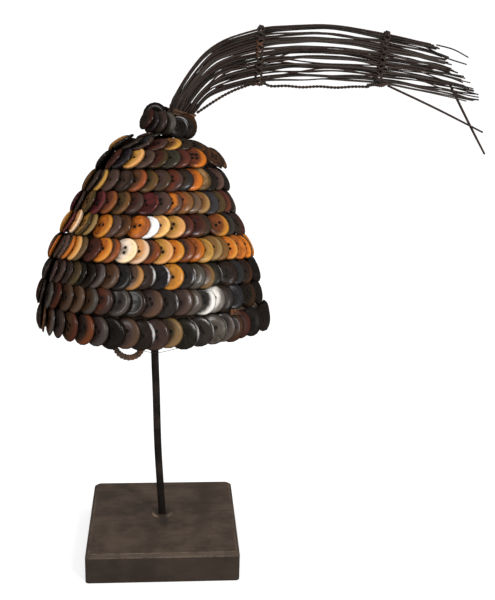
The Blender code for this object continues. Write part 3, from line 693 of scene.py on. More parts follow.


# %% [markdown]
# ## Which button goes where
# The front of each row is charted: where, across the picture, the right edge of each
# button shows, and its finish words. A button's place round the oval is the one whose
# right-most point shows there. The rest of each row is filled at even steps with words
# picked by a seeded draw.

# %% Chart of the front
# a word after a colon is a rim's crescent, partly the button's colour, partly a painted
# highlight; the white rim of the slate button at 216.3 in the second row is a painted reflection
CHART = (
    # degrees between the rest, slot, shade, words of the rest, right edges, words
    (7.6, "dark_buttons", 0.64, "dark black brown mauve navy dark",
     "45.6 54 64.5 77.4 93.8 108.7 124.3 140 155.5 169.7 184 199.8 214.9 228.1 236.8 244.5 "
     "252.7 262 270",
     "brown brown:grey dark:mauve brown:redbrown dark:rust mauve:grey black mauve:umber "
     "dark:silver mauve olive:brass green:silver slate:silver grey:silver slate:grey "
     "dark:brown maroon black black"),
    (7.6, "slate_buttons", 0.62, "dark brown dark navy redbrown black mauve",
     "38 46 53.1 60.7 73.5 85 99 113.3 130.5 146.8 163.7 178.6 193.9 203 216.3 225.4 233.7 "
     "244.1 256.5 263",
     "dark dark:mauve mauve:grey maroon:redbrown brown:umber brown:umber brown:grey "
     "redbrown:mauve slate:grey slate:mauve mauve:umber slate:silver mauve olive:grey "
     "slate:white white:grey dark:slate navy dark:brown black"),
    (7.05, "dark_buttons", 0.68, "black dark dark navy slate black",
     "44 49 53 58.7 65.9 73 81 87.4 96.2 105.8 119.7 131.7 144 156.2 170.7 184.4 196.4 206.4 "
     "215.9 223.4 237.9 245 252.8 260.3",
     "black dark dark:mauve mauve mauve dark:mauve olive black black dark:grey "
     "brown:umber navy:slate umber:tan mauve:silver navy:silver amber slate:silver olive:grey "
     "redbrown:brass green:silver dark navy dark:brown black"),
    (7.05, "amber_buttons", 1.0, "amber orange dark ochre brown orange mauve tan",
     "50 54 58 61.4 66 70 75.2 82.4 87.8 101.6 112.3 120.7 137.9 149.8 161.3 173.7 185.3 "
     "196 205.2 214.4 223.1 229.5 238.3 246 251.5",
     "dark rust dark rust:orange dark mauve olive:orange orange:tan olive maroon "
     "orange:amber brown:rust ivory:cream tan:cream mauve:rust ochre:tan orange:amber "
     "mauve:rust rust:orange ochre bronze:brass bronze orange:amber orange orange"),
    (7.7, "tan_buttons", 1.0, "amber brown maroon orange dark tan brown",
     "55 59 63.3 67 71 76.7 83.2 92 98.1 112.7 122.2 131.8 150.7 160.2 170.9 186.5 195.2 "
     "207.2 212.5 229.1 235 243.9",
     "dark brown bronze:ochre bronze ochre:amber plum tan:cream ochre:olive bronze:brass "
     "orange:amber mauve brown orange:rust white tan ochre:tan maroon maroon:brown dark "
     "rust:amber black:slate dark:maroon"),
    (9.05, "plum_buttons", 1.0, "dark redbrown maroon brown plum olive dark",
     "66 71.5 77.4 86 95.5 106.2 117.6 131 144.7 159.1 172 183.2 194 202.6 211.2 218.9 "
     "226.5 231.6 236",
     "dark maroon maroon:plum dark bronze:olive plum redbrown:rust olive:bronze "
     "maroon:mauve plum:red mauve orange:mauve rust:bronze mauve:umber bronze:brass navy "
     "olive maroon dark:grey"),
    (10.5, "brown_buttons", 1.0, "dark brown olive redbrown dark mauve",
     "80 85.5 91.5 100.2 107.9 118.9 134.3 147 159.1 172 183.8 194.6 203.3 211.9 218 224.6 "
     "230",
     "dark dark olive:bronze dark dark:ochre mauve mauve:dark brown:rust olive:bronze "
     "mauve:olive redbrown:mauve dark:navy rust:orange brass:olive black mauve black"),
    (12.0, "plum_buttons", 1.0, "dark black olive brown maroon black",
     "92 97.5 102.9 110.2 122.6 132.3 144.7 155.8 169 181.3 192 207.1 224.5",
     "dark dark olive:bronze black redbrown:maroon navy ochre:tan mauve maroon:olive "
     "green maroon redbrown:orange brown:dark"),
    (15.0, "brown_buttons", 1.0, "dark black brown dark",
     "121 127.4 134 143 154 168.8 182.5 193 206 214.5",
     "dark bronze:tan black dark navy:mauve maroon:mauve bronze:ochre dark dark:brown "
     "brown:dark"),
)
# how far a button's leading edge is turned out, and how far each row is set in
TWIST, PULL_IN = np.radians(12.5), 0.0017
# Buttons at the ends of the upper rows are a little larger, and those at the right end of
# the rim a little smaller than the rest of their row
END_GROWTH = np.array([0.0, 0.0, 0.0, 0.07, 0.07, 0.07, 0.07, 0.03, 0.07])
RIM_NARROWING = 0.05


# %% Where charted buttons lie
def angles_for(row, edges):
    """Angles of buttons whose right-most points show at these places across the picture.

    The right-most point is worked out for a button at every degree from the left round the
    front to the right, and the table is read backwards. Where that would crowd the buttons,
    they keep at least 3.5 degrees between them.
    """
    angle = np.radians(np.arange(150.0, 391.0))
    point, along = row_places(row, angle, PULL_IN)
    slope = np.full(len(angle), LEAN[row] + FLARE[row])
    across, rise, _ = disc_axes(along, slope, np.full(len(angle), TWIST))
    turn = np.radians(np.arange(0, 360, 10))[:, None]
    edge = across[:, None] * np.cos(turn) + rise[:, None] * np.sin(turn)
    right = in_picture(on_cap(point[:, None] + SIZE[row] / 2 * edge))[..., 0].max(axis=1)
    first, last = right.argmin(), right.argmax()
    found = np.interp(edges, right[first:last + 1], angle[first:last + 1])
    step = np.radians(3.5) * np.arange(len(found))
    return np.minimum.accumulate((found - step)[::-1])[::-1] + step


def size_share(row, angle):
    """How large a row's buttons are round its oval: 1 + growth * cosine to the power 4."""
    narrowing = RIM_NARROWING * np.maximum(np.cos(angle), 0.0) * (row == 0)
    return 1.0 + END_GROWTH[row] * np.cos(angle) ** 4 - narrowing


def fill_round(charted, pitch):
    """The charted angles, then even ones over the rest of the turn."""
    free = 2 * np.pi - (charted[-1] - charted[0])
    count = int(round(free / np.radians(pitch))) - 1
    return np.append(charted, charted[-1] + free * np.arange(1, count + 1) / (count + 1))


# %% Rows of buttons
for row, (pitch, slot, shade, others, edges, words) in enumerate(CHART):
    edges = np.array(edges.split(), dtype=float)
    words = numbered(words)
    angle = fill_round(angles_for(row, edges), pitch)
    total = len(angle)
    rest = RANDOM.choice(numbered(others), total - len(words), axis=0)
    middle, along = row_places(row, angle, PULL_IN)
    middle[:, 2] += RANDOM.normal(0.0, 0.0004, total)
    axes = disc_axes(along, LEAN[row] + FLARE[row] + np.radians(RANDOM.normal(0, 1.5, total)),
                     TWIST + np.radians(RANDOM.normal(0, 1.2, total)))
    piece = button_piece(f"buttons_{row + 1:02d}", middle, axes,
                         SIZE[row] / 2 * RANDOM.uniform(0.96, 1.03, total)
                         * size_share(row, angle),
                         RANDOM.uniform(0.0022, 0.0027, total), np.concatenate([words, rest]),
                         shade)
    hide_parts(f"button_row_{row + 1:02d}")

# %% [markdown]
# ## The crown and the topknot
# Five buttons lie nearly flat on the left of the crown, on the last oval. Round the plume's
# root is a leaning ring of dark ones, which follow no oval, so the place and the turn of each
# are listed one by one.

# %% Crown row
CROWN = np.array([CENTRE[9], 0.0, 0.1681])


def crown_buttons():
    """The short row on the crown: five buttons that lie nearly flat round its left side."""
    angle = np.radians([128.0, 154.0, 180.0, 206.0, 232.0])
    middle, along = row_places(9, angle)
    middle[:, 2] += (0.0006, 0.0, -0.0006, 0.0004, 0.0)
    axes = disc_axes(along, LEAN[9] + np.radians((3.0, 0.0, -4.0, 2.0, -2.0)),
                     np.radians([9.0, 11.0, 8.0, 12.0, 9.0]))
    return button_piece("buttons_10", middle, axes, radius=np.full(5, 0.0098),
                        thick=np.full(5, 0.0024),
                        words=numbered("dark green dark slate:mauve green"))


crown_piece = crown_buttons()
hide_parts("button_row_10")


# %% Topknot
TOPKNOT = np.array([
    # millimetres: along X, back, up; degrees: face turned to the right, face up; radius
    (-7.4, 17.0, 409.6, -24, 8, 12.0), (-14.6, 8.0, 408.4, -60, 30, 10.0),
    (-10.0, 2.5, 406.6, -58, 27, 10.2), (-4.0, -2.0, 407.2, -50, 24, 10.4),
    (2.4, -4.5, 406.2, -38, 18, 10.4), (12.6, -6.5, 403.4, 4, 14, 9.6),
    (20.6, 4.5, 403.0, 36, 10, 11.2), (22.5, 16.0, 404.2, 74, 10, 10.4),
    (19.0, 26.0, 405.2, 128, 12, 10.2), (9.0, 31.0, 406.4, 168, 14, 10.2),
    (-2.0, 30.0, 407.6, 204, 16, 10.2), (-11.0, 23.0, 408.6, 240, 18, 10.2)])


def topknot_buttons():
    """Oblique buttons round the plume's stem, charted one by one, like the blades of a fan.

    A face turned by t and up by u is (sin t * cos u, -cos t * cos u, sin u). Each disc is
    turned in its own plane by 55 degrees, so its crescent, a painted highlight, is at the upper
    right.
    """
    turn, up = np.radians(TOPKNOT[:, 3:5]).T
    face = np.stack([np.sin(turn) * np.cos(up), -np.cos(turn) * np.cos(up), np.sin(up)],
                    axis=-1)
    level = unit(np.cross(UP, face))
    spin = np.radians(55.0)
    across = level * np.cos(spin) + np.cross(face, level) * np.sin(spin)
    words = numbered("black dark:maroon black:slate dark:mauve dark:grey black:silver "
                     "dark:brown dark black dark mauve:slate dark")
    return button_piece(
        "topknot_buttons", TOPKNOT[:, :3] * MM, (across, np.cross(face, across), face),
        TOPKNOT[:, 5] * MM, np.full(len(TOPKNOT), 0.0028), words, shade=0.62, place=np.asarray)


topknot = topknot_buttons()
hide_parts("topknot_ring")

# %% [markdown]
# ## The woven cap
# Under the buttons is a stiff basketry cap. It shows through the gaps and from below, so it
# is a surface over the same ovals, with a coil every few millimetres, and the stitches that
# bind the coils. One coil could be swept up it in a spiral, but its turns would cut into
# each other, and ribs on one closed surface do not.

# %% Woven cap
COIL_HEIGHT, RIB_HEIGHT, RIB_MIDDLE = 0.0036, 0.00045, 0.0004
WALL_THICKNESS, RIGHT_SWELL = 0.0020, 0.0010
CAP_SIDES = 96


def coiled_cap():
    """Points over ovals between the rows: inside and outside faces, ribbed by coils.

    An oval's half widths are the row's, less the way in to the backs of its buttons. The
    ribs are the size of a sine of the distance up the cap, and the right side swells out a
    little. There is one more oval at the rim, and one at the crown, closed by a face.
    """
    half_thick, half_wide, gap = 0.0011, 0.0100, 0.0012
    depth = half_thick + half_wide * np.sin(TWIST) + gap
    lean = LEAN + FLARE
    reach = SIZE / 2 * 0.80
    inward = depth * np.cos(lean) + reach * np.sin(lean) + gap + PULL_IN
    width, deep = (HALF_WIDTH - inward)[:9], (HALF_DEPTH - inward)[:9]
    height = (HEIGHT + reach * np.cos(lean) - depth * np.sin(lean))[:9]
    base = height[0] * np.tan(SLOPE[0])
    width = np.concatenate([[width[0] + base], width, [0.0105]])
    deep = np.concatenate([[deep[0] + base], deep, [0.0100]])
    height = np.concatenate([[0.0016], height, [0.1678]])
    centre, left, right = (np.concatenate([[value[0]], value[:9], [value[9]]])
                           for value in (CENTRE, LIFT_LEFT, LIFT_RIGHT))
    sections = smooth_paths(np.column_stack([width, deep, height, centre, left, right]), 141)
    coil = np.abs(np.sin(np.pi * run_length(sections[:, :3]) / COIL_HEIGHT))
    ridge = RIB_HEIGHT * coil - RIB_MIDDLE
    angle = 2 * np.pi * np.arange(CAP_SIDES) / CAP_SIDES
    rings = []
    for sign, wall in ((1, 0.0), (-1, -WALL_THICKNESS)):
        grow = sign * ridge + wall
        out = grow[:, None] + RIGHT_SWELL * np.maximum(np.cos(angle), 0.0) ** 2
        x = sections[:, 3:4] + (sections[:, 0:1] + out) * np.cos(angle)
        y = (sections[:, 1:2] + grow[:, None]) * np.sin(angle)
        z = sections[:, 2:3] + wall + lifted(sections[:, 4:5], sections[:, 5:6],
                                             np.cos(angle))
        rings.append(np.stack([x, y, z], axis=-1))
    return np.concatenate([rings[1][::-1], rings[0]])


# %% Basketry finish
def basketry_finish():
    """Coiled plant fibre: slanting stitches over each coil, dark with age."""
    finish = Finish("coiled_basketry")
    place = finish.place()
    x, _, z = finish.split(place)
    strands = finish.noise(finish.stretch(place, (1.0, 1.0, 2.5)), 420.0, 4.0, 0.6)
    bands = (z * 1745.0 + x * 60.0).wave()
    colour = finish.mix(strands.step(0.35, 0.7), (0.024, 0.016, 0.010),
                        (0.120, 0.074, 0.040))
    colour = finish.mix(finish.noise(place, 35.0).step(0.5, 0.7) * 0.5, colour,
                        (0.020, 0.014, 0.010))
    return finish.feed(Base_Color=colour, Roughness=0.72 + strands * 0.2,
                       Normal=finish.bump(strands + bands * 0.3, 0.0006, 0.8))


cap_points = coiled_cap()
cap = new_piece("woven_cap", on_cap(cap_points).reshape(-1, 3),
                [grid_faces(len(cap_points), CAP_SIDES),
                 *end_faces(len(cap_points), CAP_SIDES)], basketry_finish())
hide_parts("cap_shell")

# %% [markdown]
# ## The plume
# About sixty stiff bristles leave the topknot in a tight bundle, open into a flat band and
# end raggedly. The band's lower and upper edge are two smooth lines. At the ties the bristles
# lie evenly between them, and midway they gather in locks, which opens lens-shaped gaps.
# Hair could be grown for this, but the exported model needs meshes, so each bristle is a
# thin bar along a line of its own.

# %% Band of the plume
PLUME_REACH = 0.250
PLUME_ROOT = np.array([0.0174, 0.0127, 0.4172])
BAND = PLUME_REACH * np.array([
    # lower edge out and up, upper edge out and up, at ten stations from root to tip
    (0.041, -0.011, -0.043, 0.016), (0.080, 0.036, -0.001, 0.095),
    (0.138, 0.064, 0.094, 0.209), (0.249, 0.094, 0.251, 0.271),
    (0.371, 0.103, 0.387, 0.288), (0.511, 0.106, 0.532, 0.288),
    (0.671, 0.100, 0.693, 0.265), (0.786, 0.083, 0.817, 0.241),
    (0.931, 0.060, 0.911, 0.220), (1.044, 0.038, 1.007, 0.188)])
LAST_STATION, STEPS = len(BAND) - 1, 20
EDGES = smooth_paths(BAND, LAST_STATION * STEPS + 1)
TIES = (3.07, 6.03)


def plume_point(station, share, back):
    """Point of the band at a station, at a share from its lower to its upper edge."""
    place = np.clip(station, 0.0, LAST_STATION - 0.001) * STEPS
    index = place.astype(int)
    part = (place - index)[..., None]
    row = EDGES[index] * (1 - part) + EDGES[index + 1] * part
    x = row[..., 0] * (1 - share) + row[..., 2] * share
    z = row[..., 1] * (1 - share) + row[..., 3] * share
    return PLUME_ROOT + np.stack([x, back + np.zeros_like(x), z], axis=-1)


def gathered(station):
    """How far the bristles gather in locks: 0 at root and ties, most midway and at the tip."""
    inner = np.sin(np.pi * np.clip(station / TIES[0], 0, 1))
    outer = np.sin(np.pi * np.clip((station - TIES[0]) / (TIES[1] - TIES[0]), 0, 1))
    tip = np.clip(station - TIES[1], 0, 1)
    return np.clip(0.60 * inner ** 0.9 + outer ** 0.6 + 0.95 * tip, 0, 1)


# %% Bristles
LOCKS = (
    # share of the band from its lower edge: first, last, bristles
    (0.000, 0.010, 2), (0.055, 0.085, 4), (0.150, 0.178, 4), (0.240, 0.318, 9),
    (0.392, 0.440, 7), (0.505, 0.610, 12), (0.690, 0.768, 10), (0.828, 0.862, 5),
    (0.930, 1.000, 8),
)
lock_share = np.concatenate([np.linspace(low, high, count) for low, high, count in LOCKS])
lock_number = np.repeat(np.arange(len(LOCKS)), [count for *_, count in LOCKS])
bristles = len(lock_share)
PLACES, BRISTLE_POINTS = 17, 52


# %% Paths of the bristles
def bristle_paths():
    """A foot on the crown, then places from the tight root along the band to a ragged end.

    The shares of the band are even at the ties and a lock's midway, and some drift across.
    """
    even = np.linspace(0.0, 1.0, bristles)
    # the lower ones reach further, and every bristle and every lock ends a little off that
    end = 7.80 + 1.15 * (1 - even[:, None]) + RANDOM.uniform(-0.35, 0.15, (bristles, 1))
    end = end + RANDOM.uniform(-0.35, 0.20, (len(LOCKS), 1))[lock_number]
    station = np.linspace(0.0, 1.0, PLACES) * end
    lock_drift = RANDOM.normal(0.0, 0.012, (len(LOCKS), PLACES))[lock_number]
    gather = gathered(station)
    share = even[:, None] * (1 - gather) + lock_share[:, None] * gather
    # about a fifth drift across the others, and past the outer tie all spread a little
    cross = np.where(RANDOM.uniform(0, 1, (bristles, 1)) < 0.22,
                     RANDOM.normal(0.0, 0.055, (bristles, 1)), 0.0)
    share = share + lock_drift * gather + cross * np.sin(station * 1.6)
    share = share + RANDOM.normal(0.0, 0.004, (bristles, PLACES)) * (station > 0.5)
    loose = np.clip(station - TIES[1] - 0.8, 0, None)
    share = np.clip(share, 0.0, 1.0) + RANDOM.normal(0.0, 0.018, (bristles, 1)) * loose
    # they lie in three layers, which mingle at the root
    layer = (np.arange(bristles) % 3 - 1.0)[:, None]
    back = layer * 0.0011 + RANDOM.normal(0.0, 0.00015, (bristles, PLACES))
    back = back + RANDOM.uniform(-1, 1, (bristles, 1)) * 0.0032 * np.exp(-2.5 * station)
    body = plume_point(station, share, back)
    foot = on_cap(CROWN + 0.0016 * UP) + np.column_stack([
        (even - 0.5) * -0.0075, RANDOM.uniform(-0.003, 0.003, bristles), np.zeros(bristles)])
    return smooth_paths(np.concatenate([foot[:, None], body], axis=1), BRISTLE_POINTS)


# %% Bristle finish
def bristle_finish():
    """Stiff dark bristle: brown-black, semi-gloss, streaked along its length."""
    finish = Finish("dark_bristle", Specular_IOR_Level=0.30)
    along, luck = finish.value("along"), finish.value("luck")
    where = finish.point(along * 22.0, luck * 90.0, 0.0)
    streaks = finish.noise(where, 2.0, 4.0, 0.6)
    grit = finish.noise(finish.place(), 1400.0, 3.0)
    colour = finish.mix(streaks.step(0.40, 0.62), (0.008, 0.006, 0.005),
                        (0.032, 0.022, 0.018))
    colour = finish.mix(luck.step(0.45, 0.95) * 0.85, colour, (0.050, 0.035, 0.027))
    colour = finish.mix((1 - luck.step(0.05, 0.35)) * 0.7, colour, (0.034, 0.014, 0.009))
    return finish.feed(Base_Color=colour, Roughness=0.42 + grit * 0.18,
                       Normal=finish.bump(grit * 0.4 + streaks * 0.4, 0.0002, 0.7))


BRISTLE_FINISH = bristle_finish()
bristle_luck = RANDOM.uniform(0, 1, (bristles, 1))
taper = 1.0 - 0.10 * np.linspace(0, 1, BRISTLE_POINTS) ** 4
plume = bars("plume_bristles", bristle_paths(), BACKWARD,
             RANDOM.uniform(0.00064, 0.00084, (bristles, 1)) * taper, corners=6,
             material=BRISTLE_FINISH, luck=bristle_luck)
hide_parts("plume")

# %% [markdown]
# Two stout bristles have sprung out of the band and hang below its tip, and two thin ones
# stand off it. They are bars of their own, so that each has its own thickness.

# %% Loose bristles
LOOSE = (
    # three points each: out along X, back along Y, up along Z; then the radius
    ((0.1950, 0.0125, 0.4400), (0.2390, 0.0110, 0.4212), (0.2830, 0.0100, 0.4010), 0.00090),
    ((0.2500, 0.0140, 0.4430), (0.2700, 0.0120, 0.4090), (0.2868, 0.0105, 0.3815), 0.00092),
    ((0.2350, 0.0110, 0.4755), (0.2500, 0.0100, 0.4720), (0.2640, 0.0100, 0.4655), 0.00055),
    ((0.2250, 0.0112, 0.4740), (0.2440, 0.0100, 0.4650), (0.2630, 0.0100, 0.4595), 0.00060),
)
LOOSE_POINTS = 16
loose_paths = smooth_paths([points[:3] for points in LOOSE], LOOSE_POINTS)
loose_radius = np.array([points[3] for points in LOOSE])[:, None]
loose_taper = 1.25 - 0.25 * np.linspace(0, 1, LOOSE_POINTS) ** 3
loose = bars("plume_loose_bristles", loose_paths, BACKWARD, loose_radius * loose_taper,
             corners=6, material=BRISTLE_FINISH,
             luck=np.array([[0.02], [0.04], [0.3], [0.5]]))

# %% [markdown]
# ## Ties and twisted cords
# Two double ties hold the band flat: pairs of strands pass it on either side and cross
# between bristles, and a knot sits on top. Two-ply cords run from the root to the first tie
# and from there to the second. Round the root itself is a wrapping of rusty fibre. Plain
# rings would do from afar, but only real strands show how they cross.

# %% Fibres of the ties
TIE_FIBRE = fibre_finish("tie_fibre_twine", (0.012, 0.008, 0.006), (0.055, 0.032, 0.020),
                         (0.105, 0.038, 0.013))
WRAP_FIBRE = fibre_finish("root_wrap_fibre", (0.040, 0.018, 0.009), (0.150, 0.070, 0.032),
                          (0.210, 0.075, 0.022))


# %% Strands, knots and twists
def twined_tie(station):
    """Strands that climb the band by turning round it, two one way and two the other.

    Each is middle + side * wide * cos(turn) + depth * half * sin(turn), so in front the
    strands cross like a row of letters X. With them come the way up the band, and its
    lower and upper edge there.
    """
    wide, half, pitch = 0.0027, 0.0034, 0.0098
    low, high = plume_point(np.array([station, station]), np.array([0.0, 1.0]), np.zeros(2))
    rise = unit(high - low)
    side = np.cross(rise, BACKWARD)
    place = np.linspace(-0.0020, np.linalg.norm(high - low) + 0.0014, 150)
    # which way each strand turns, and how far round it starts
    hand, lag = np.array([[1.0], [1.0], [-1.0], [-1.0]]), np.array([[0.0], [3.4], [0.3], [3.0]])
    turn = hand * 2 * np.pi * place / pitch + lag
    reach = wide * (1.0 + 0.10 * np.sin(place * 900.0 + lag))
    strands = wound(low + rise * place[:, None], side, BACKWARD, reach * np.cos(turn),
                    half * np.sin(turn))
    return strands, rise, low, high


def knot_path(middle, axis, radius, turns, length, count):
    """A short coil: middle + radius * (side * cos + depth * sin) + axis * its rise."""
    part = np.linspace(0.0, 1.0, count)
    turn = 2 * np.pi * turns * part
    swell = radius * (0.55 + 0.45 * np.sin(np.pi * part))
    return wound(middle, np.cross(axis, BACKWARD), BACKWARD, swell * np.cos(turn),
                 swell * 1.4 * np.sin(turn)) + axis * (length * part)[:, None]


def two_ply(route, count, radius, pitch):
    """Two strands that turn round a route: across * cos + up * sin, half a turn apart."""
    path = smooth_paths(route, count)
    turn = 2 * np.pi * run_length(path) / pitch + np.array([[0.0], [np.pi]])
    return wound(path, *path_frame(path, BACKWARD), radius * np.cos(turn),
                 radius * np.sin(turn))


# %% Ties
for node, station, foot in (("plume_tie_inner", TIES[0], 0.0052),
                            ("plume_tie_outer", TIES[1], 0.0092)):
    strands, rise, bottom, top = twined_tie(station)
    tie = bars(f"{node}_twine", strands, np.cross(rise, BACKWARD), radius=0.00098, corners=7,
               material=TIE_FIBRE)
    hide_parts(node)
    coil = knot_path(top - rise * 0.0004, rise, radius=0.0019, turns=2.0, length=0.0028, count=50)
    knot = bars(f"{node}_knot", coil, rise, radius=0.00090, corners=7, material=TIE_FIBRE)
    loop = two_ply([bottom + (-foot, 0.001, -0.0024), bottom + (-foot / 3, -0.0028, -0.0012),
                    bottom + (foot / 3, -0.0028, -0.0020), bottom + (foot, 0.001, 0.0002)],
                   60, radius=0.0008, pitch=0.0036)
    end = bars(f"{node}_foot", loop, BACKWARD, radius=0.00085, corners=6, material=TIE_FIBRE)

# %% Twisted cords
CORD_BACK = 0.0142
CORD_ROUTES = {
    # node: points of the strands, and the route along X and up Z
    "plume_cord_root": (110, (
        (0.0290, 0.4134), (0.0400, 0.4210), (0.0515, 0.4284), (0.0610, 0.4333),
        (0.0700, 0.4368), (0.0782, 0.4398))),
    "plume_cord_span": (180, (
        (0.0838, 0.4424), (0.0880, 0.4392), (0.0935, 0.4374), (0.1060, 0.4379),
        (0.1200, 0.4370), (0.1350, 0.4379), (0.1500, 0.4372), (0.1650, 0.4383),
        (0.1790, 0.4384))),
}
for node, (count, places) in CORD_ROUTES.items():
    route = [(x, CORD_BACK, z) for x, z in places]
    cord = bars(f"{node}_twist", two_ply(route, count, radius=0.00066, pitch=0.0062),
                BACKWARD, radius=0.00070, corners=6, material=TIE_FIBRE)
    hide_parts(node)


# %% Wrapping of the root
def root_wrap():
    """Fibre wound round the root: an oval coil that climbs one strand a turn, uneven."""
    lean, turns, climb = np.radians(20.7), 6.5, 0.0062
    axis = np.array((np.sin(lean), 0.0, np.cos(lean)))
    across = np.array((axis[2], 0.0, -axis[0]))
    part = np.linspace(0.0, 1.0, 400)
    turn = 2 * np.pi * turns * part
    half = 0.0112 + 0.0004 * np.sin(turn * 0.37) + 0.0005 * part
    rise = climb * part + 0.0004 * np.sin(turn * 1.7)
    return wound(PLUME_ROOT - axis * 0.0078, across, BACKWARD, half * np.cos(turn),
                 0.0046 * np.sin(turn)) + axis * rise[:, None]


wrap = bars("plume_root_wrap", root_wrap(), UP, radius=0.00062, corners=6,
            material=WRAP_FIBRE)

# %% [markdown]
# ## Loose fibre
# A few threads have come free: three short ends and one long fine thread beside the strap,
# and a fan of rusty fibre that sticks out between the two lowest rows at the right. Each
# thread is drawn by three points, and only the lengths in the fan are left to chance.

# %% Loose threads
THREADS = np.array([
    [(-0.0215, -0.1010, 0.2440), (-0.0190, -0.1020, 0.2420), (-0.0165, -0.1022, 0.2398)],
    [(-0.0185, -0.1005, 0.2440), (-0.0160, -0.1015, 0.2415), (-0.0135, -0.1018, 0.2395)],
    [(-0.0245, -0.1012, 0.2430), (-0.0220, -0.1022, 0.2412), (-0.0195, -0.1024, 0.2392)],
    [(-0.0150, -0.0980, 0.2345), (-0.0040, -0.0950, 0.2322), (0.0120, -0.0930, 0.2352)]])
threads = bars("strap_loose_threads", smooth_paths(THREADS, 18), BACKWARD,
               np.array([[0.00022], [0.00022], [0.00020], [0.00024]]), corners=5,
               material=strap_fibre)


# %% Fan of fibre
def fibre_fan(row, angle, count):
    """Short fibres from one point above a row: they part like the ribs of a fan."""
    above, hump, droop = 0.0125, 0.0012, 0.0030
    foot, along = row_places(row, np.array([angle]), 0.001)
    foot = foot + above * UP
    outward = np.cross(along, UP)
    spread = np.linspace(-1.0, 1.0, count)[:, None]
    length = RANDOM.uniform(0.005, 0.009, (count, 1))
    tip = foot + length * (along * spread * 0.8 + outward * 0.75)
    base = foot + along * spread * 0.0012
    middle = (base + tip) / 2 + hump * UP
    return on_cap(np.stack([base, middle, tip - droop * UP], axis=1))


# the fan stands where a button of the rim would show its right edge at 245.5
fan_angle = angles_for(0, np.array([237.0, 245.5]))[1]
fan_paths = smooth_paths(fibre_fan(row=0, angle=fan_angle, count=16), 10)
fan = bars("rim_fibre_fan", fan_paths, UP, radius=0.00026, corners=5, material=WRAP_FIBRE)

# %% [markdown]
# ## The stand
# The rod is a dark steel bar with a slight bow. It could be a straight cylinder that is bent
# by a modifier, but as a bar along a path it takes the table's bow as it is.

# %% Rod
ROD_DIAMETER, ROD_FOOT = 0.007, (-0.0010, 0.0055)
# share of the way up, and the bow there as a share of the height; below the second, the rod
# stands upright in the block
ROD_TABLE = ((0.000, 0.0000), (0.045, 0.0000), (0.120, -0.0050), (0.247, -0.0130),
             (0.389, -0.0180), (0.530, -0.0232), (0.670, -0.0222), (0.810, -0.0136),
             (0.930, -0.0040), (1.000, 0.0000))


def rod_line():
    """The straight line from foot to head, moved along X by the table's bow.

    The head is below the pad by a small gap and radius * tan(lean), because the pad leans.
    """
    pad_depth, gap = 0.0131, 0.0003
    foot = np.array([*ROD_FOOT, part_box("stand_rod")[0][2]])
    head = on_cap(CROWN - pad_depth * UP) - (gap + ROD_DIAMETER / 2 * np.tan(CAP_LEAN)) * UP
    share, bow = np.array(ROD_TABLE).T
    part = np.clip((share - share[1]) / (1 - share[1]), 0.0, 1.0)[:, None]
    line = foot + (head - foot) * part
    line[:, 0] += bow * (head[2] - foot[2])
    line[:, 2] = foot[2] + share * (head[2] - foot[2])
    return smooth_paths(line, 72)


# %% Steel of the rod
def steel_finish():
    """Blackened steel: brown-black, rubbed in places, with fine pits."""
    finish = Finish("blackened_steel", Metallic=0.2, Specular_IOR_Level=0.25)
    place = finish.place()
    patches = finish.noise(place, 45.0, 3.0)
    pits = finish.noise(place, 900.0, 3.0)
    colour = finish.mix(patches.step(0.4, 0.65), (0.011, 0.008, 0.006),
                        (0.028, 0.019, 0.014))
    return finish.feed(Base_Color=colour, Roughness=0.44 + patches * 0.2,
                       Normal=finish.bump(pits * 0.5 + patches, 0.0003, 0.6))


rod = bars("stand_rod_bar", rod_line(), BACKWARD, ROD_DIAMETER / 2, corners=20,
           material=steel_finish())
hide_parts("stand_rod")

# %% [markdown]
# The block is dark wood, paler along its chamfers, partly worn and partly a painted highlight,
# with old glue round the rod's foot.
# The pad under the crown is turned wood. Both keep their solids and only get a finish. An
# image could show the grain, but maths on a place in space needs no unwrapping, and it runs
# on unbroken from the top over the edges to the sides.

# %% Marks on the block's top
def marks_on_top(finish, place, colour):
    """The colour with old marks laid on it, and where the glue is.

    Glue has left a pale ragged arc on either side of the rod's foot, the top is darker round the
    foot, and darker in an oval patch before it.
    """
    x, y, z = finish.split(place)
    on_top = z.step(0.0280, 0.0284)
    from_rod = x - ROD_FOOT[0]
    foot = (from_rod ** 2 + (y - ROD_FOOT[1]) ** 2) ** 0.5
    ragged = foot + (finish.noise(place, 260.0, 3.0) - 0.5) * 0.004
    glue = (1 - (ragged - 0.0085).size().step(0.0008, 0.0022)) * on_top
    glue = glue * from_rod.size().step(0.0025, 0.0060) * (1 - y.step(0.0, 0.0090))
    colour = finish.mix(glue * (0.75 - x.step(-0.002, 0.002) * 0.45), colour,
                        (0.260, 0.180, 0.115))
    # darker round the rod's foot
    darker_round_foot = (1 - foot.step(0.006, 0.016)) * on_top
    colour = finish.mix(darker_round_foot * (1 - glue) * 0.4, colour, (0.012, 0.009, 0.008))
    # darker in an oval patch before the foot
    darker_before_foot = (((x - 0.0005) / 0.0065) ** 2 + ((y + 0.0125) / 0.0150) ** 2) ** 0.5
    darker_before_foot = (1 - darker_before_foot.step(0.35, 1.0)) * on_top
    return finish.mix(darker_before_foot * 0.45, colour, (0.020, 0.016, 0.015)), glue


# %% Wood of the block
BLOCK_TOP, BLOCK_HALF, CHAMFER = 0.0285, 0.070, 0.003


